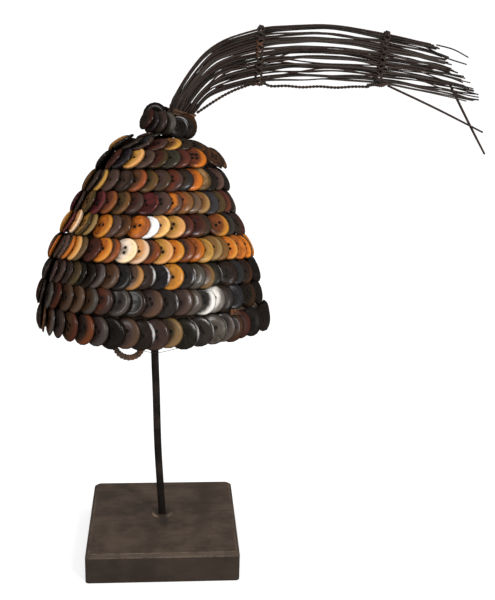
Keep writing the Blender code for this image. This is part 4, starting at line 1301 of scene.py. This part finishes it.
def block_finish():
    """Stained wood: a calm blotched face, level grain, and paler chamfer edges, partly worn and
    partly a painted highlight.
    """
    finish = Finish("stained_wood_block", Specular_IOR_Level=0.25)
    place = finish.place()
    x, y, z = finish.split(place)
    grain = finish.noise(finish.stretch(place, (1.0, 7.0, 12.0)), 30.0, 6.0, 0.65, 0.4)
    fine = finish.noise(finish.stretch(place, (1.0, 10.0, 16.0)), 150.0, 4.0, 0.6)
    blotch = finish.noise(place, 34.0, 5.0, 0.6)
    colour = finish.mix(blotch.step(0.34, 0.66), (0.054, 0.037, 0.026),
                        (0.090, 0.061, 0.043))
    sides = 1 - z.step(0.0240, 0.0262)
    colour = finish.mix(sides * 0.62, colour, (0.015, 0.008, 0.005))
    colour = finish.mix(grain.step(0.50, 0.75) * 0.35, colour, (0.020, 0.013, 0.010))
    colour = finish.mix(fine.step(0.55, 0.80) * 0.30, colour, (0.012, 0.009, 0.007))
    side = x.maths("MAXIMUM", x.size(), y.size())
    top_line = 1 - (side - (BLOCK_HALF - CHAMFER)).size().step(0.0002, 0.0009)
    low_line = 1 - (z - (BLOCK_TOP - CHAMFER)).size().step(0.0002, 0.0008)
    edge = top_line * z.step(0.0278, 0.0283) + low_line * side.step(0.0690, 0.0698)
    chamfer_worn_and_highlight = finish.noise(place, 160.0, 4.0).step(0.40, 0.58)
    # the chamfer edges paler: partly worn, partly a painted highlight
    colour = finish.mix(edge * chamfer_worn_and_highlight * 0.26, colour, (0.240, 0.180, 0.130))
    colour, glue = marks_on_top(finish, place, colour)
    return finish.feed(Base_Color=colour, Roughness=0.52 + grain * 0.2,
                       Normal=finish.bump(grain * 0.5 + fine * 0.5 + glue, 0.0005, 0.6))


# %% Wood of the pad
def pad_finish():
    """Plain pale wood: rings of end grain and fine pores."""
    finish = Finish("turned_wood_pad")
    place = finish.place()
    x, y, _ = finish.split(place)
    rings = (((x + 0.002) ** 2 + (y + 0.02) ** 2) ** 0.5 * 2600.0
             + finish.noise(place, 90.0) * 5.0).wave()
    pores = finish.noise(place, 500.0, 3.0)
    colour = finish.mix(rings * 0.5 + 0.5, (0.130, 0.078, 0.040), (0.230, 0.150, 0.085))
    return finish.feed(Base_Color=colour, Roughness=0.7 + pores * 0.15,
                       Normal=finish.bump(pores + rings * 0.3, 0.0004, 0.6))


def dress(node, material):
    """Give a CAD node that stays another finish."""
    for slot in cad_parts[node].material_slots:
        slot.material = material


dress("stand_block", block_finish())
dress("stand_pad", pad_finish())

# %% [markdown]
# ## Studio
# A plain white floor runs on past the frame and glows a little, so that it shows as paper
# white. The world is white for soft light but dim in reflections, so dark buttons stay dark.
# Soft lamps at the right put real highlights on the rims, over crescents that are partly
# painted highlights.

# %% Floor
def floor_piece():
    """One large level square, centred under the stand."""
    half = 60.0
    points = [(-half, -half, 0.0), (half, -half, 0.0), (half, half, 0.0), (-half, half, 0.0)]
    finish = Finish("white_floor", Roughness=0.9, Emission_Strength=0.55,
                    Emission_Color=(1.0, 1.0, 1.0, 1.0))
    grain = finish.noise(finish.place(), 8.0, 2.0)
    mesh = bpy.data.meshes.new("floor")
    mesh.from_pydata(points, [], [(0, 1, 2, 3)])
    floor = new_object("floor", mesh)
    floor.visible_glossy = False
    mesh.materials.append(finish.feed(
        Base_Color=finish.mix(grain * 0.02, (0.60, 0.60, 0.60), (0.58, 0.58, 0.58))))


# %% Lamps
LAMP_AIM = np.array((0.0, 0.0, 0.32))


def softbox(name, place, width, height, radiance):
    """An area lamp that faces the cap; its power comes from the brightness it should have."""
    data = bpy.data.lights.new(name, "AREA")
    data.shape = "RECTANGLE"
    data.size, data.size_y = width, height
    data.energy = radiance * np.pi * width * height
    back = unit(np.array(place) - LAMP_AIM)
    right = unit(np.cross(UP, back))
    new_object(name, data).matrix_world = matrix_of(right, np.cross(back, right), back, place).T


# %% White world
def white_world(seen, diffuse, gloss):
    """White for the camera, softer for diffuse light, and dim in reflections."""
    world = bpy.data.worlds.new("studio")
    bpy.context.scene.world = world
    world.use_nodes = True
    tree = world.node_tree
    back = tree.nodes["Background"]
    rays = tree.nodes.new("ShaderNodeLightPath")
    pick = tree.nodes.new("ShaderNodeMix")
    again = tree.nodes.new("ShaderNodeMix")
    pick.inputs[2].default_value, pick.inputs[3].default_value = diffuse, gloss
    again.inputs[3].default_value = seen
    tree.links.new(rays.outputs["Is Glossy Ray"], pick.inputs[0])
    tree.links.new(rays.outputs["Is Camera Ray"], again.inputs[0])
    tree.links.new(pick.outputs[0], again.inputs[2])
    tree.links.new(again.outputs[0], back.inputs["Strength"])
    back.inputs["Color"].default_value = (1.0, 1.0, 1.0, 1.0)


# %% Lit studio
floor_piece()
white_world(seen=1.15, diffuse=0.90, gloss=0.04)
softbox("key_right", (0.66, -0.98, 1.02), width=0.30, height=0.42, radiance=18.0)
softbox("edge_right", (0.95, -0.55, 0.45), width=0.16, height=0.40, radiance=7.0)
softbox("fill_left", (-0.80, -0.80, 0.80), width=0.34, height=0.46, radiance=5.0)
bpy.context.scene.view_settings.view_transform = "Standard"
